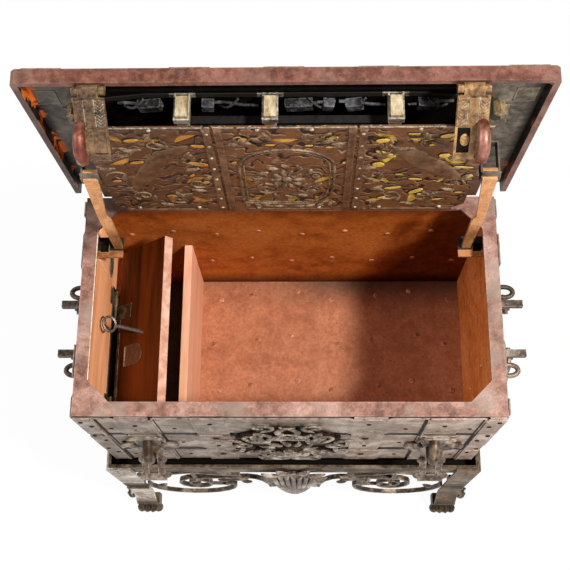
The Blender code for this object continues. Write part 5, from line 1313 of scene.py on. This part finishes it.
# %% [markdown]
# ## Inside
# The sheets inside are held to the straps outside by rivets whose ends are hammered flat. They
# show as soft bumps under the paint. The till board runs on to the back corner below the stay's
# seat, carries a half round hinge plate, and the till lid has a lock plate of the same form.

# %% Rivet bumps inside
spots = []
for i, x in enumerate((-0.170, -0.090, -0.005, 0.080, 0.165, 0.250, 0.320)):
    for j, y in enumerate((-0.150, -0.050, 0.050, 0.150)):
        spots.append((x + 0.014 * ((i + j) % 2), y + 0.010 * (i % 3), 0.0, 0.0058, 0.0058, 0.0020, 0))
lay("floor_bumps", "rivet", FLOOR_INSIDE, spots, rivet_copper, "stand_and_chest")
spots = []
for i in range(9):
    for j, z in enumerate((0.820, 0.705, 0.560)):
        spots.append((-0.330 + 0.082 * i + 0.022 * (j % 2), z + 0.016 * (i % 2), 0.0, 0.0056, 0.0056, 0.0024, 0))
lay("back_bumps", "rivet", BACK_INSIDE, spots, rivet_copper, "stand_and_chest")
spots = []
for i in range(4):
    for j, z in enumerate((0.790, 0.660, 0.520)):
        spots.append((-0.135 + 0.090 * i + 0.012 * j, z, 0.0, 0.0052, 0.0052, 0.0022, 0))
lay("right_bumps", "rivet", RIGHT_INSIDE, spots, rivet_copper, "stand_and_chest")

# %% Board end, hinge plate and lock plate of the till
BOARD_FACE = face_frame((0, 1, 0), (0, 0, 1), (-0.3420, 0.0, 0.0))
board_end = [(0.1340, 0.627, -0.0137, 0.0760, 0.400, 0.0116, 0)]
lay("till_board_end", "strip", BOARD_FACE, board_end, board_mat, "stand_and_chest")
half_round = [(0.1300, 0.712, 0.0, 0.020, 0.030, 0.0016, 90)]
lay("till_half_round", "rivet", BOARD_FACE, half_round, guide_mat, "stand_and_chest")
# Painted shade: a thin dark strip stands for the shade in the gap between the board and the till lid.
gap_shadow = [(-0.0470, 0.640, 0.0, 0.284, 0.090, 0.0002, 0)]
lay("till_gap_shadow", "strip", BOARD_FACE, gap_shadow, dark_mat, "stand_and_chest")
# Painted shade: dark strips carry the shade lines of the strap rows across the upright straps.
gaps = []
for s in (-1, 1):
    gaps += [(s * 0.2625, 0.7260, -0.0022, 0.064, 0.021, 0.0006, 0), (s * 0.2625, 0.5795, -0.0022, 0.064, 0.028, 0.0006, 0)]
gap_shade_mat = iron("gap_shade", *outside_shade, metal=0.0, bump=0.3, gloss=0.0)
lay("front_gap_shade_lines", "strip", FRONT_FACE, gaps, gap_shade_mat, "stand_and_chest")
# Painted shade: thin dark strips stand for the dark inside of the notches by the stay seats.
NOTCH_FACE = Matrix.Translation((0.0, 0.0, 0.8290))
notch_shades = [(-0.3370, 0.1140, 0.0, 0.026, 0.030, 0.0005, 0), (0.3370, 0.1140, 0.0, 0.026, 0.030, 0.0005, 0)]
lay("seat_notch_shade", "strip", NOTCH_FACE, notch_shades, dark_mat, "stand_and_chest")
# Painted highlight: a thin pale strip along the left rim's inner edge.
RIM_TOP = Matrix.Translation((0.0, 0.0, 0.8700))
lay("rim_edge_highlight", "strip", RIM_TOP, [(-0.3365, 0.0, -0.0001, 0.0018, 0.270, 0.0002, 0)], edge_highlight, "stand_and_chest")
till_normal = Vector((-math.sin(TILL_TURN), 0.0, math.cos(TILL_TURN)))
TILL_FACE = face_frame(TILL_DIR, (0, 1, 0), TILL_AXIS - till_normal * 0.00455)
lay("till_plate_edge", "strip", TILL_FACE, [(0.0345, -0.048, 0.0, 0.0030, 0.0390, 0.0020, 0)], guide_mat, "till")

# %% [markdown]
# ## Stay clips
# A flat grey clip holds the top of each stay on its bracket.

# %% Clips of the stays
for x, body, tag, up_by in ((-0.3125, "stay_l", "left", 0.013), (0.3190, "stay_r", "right", 0.0135)):
    up = Vector((0.0, 0.18, 0.98)).normalized()
    clip_face = face_frame((1, 0, 0), up, (x, 0.1465, 1.0511))
    lay("stay_clip_" + tag, "strip", clip_face, [(0.0, up_by, 0.0, 0.030, 0.012, 0.0020, 0)], bracket_grey, body)

# %% [markdown]
# ## Finish
# The models that were copied are taken away.

# %% Finish
for model in MODELS.values():
    bpy.data.objects.remove(model)
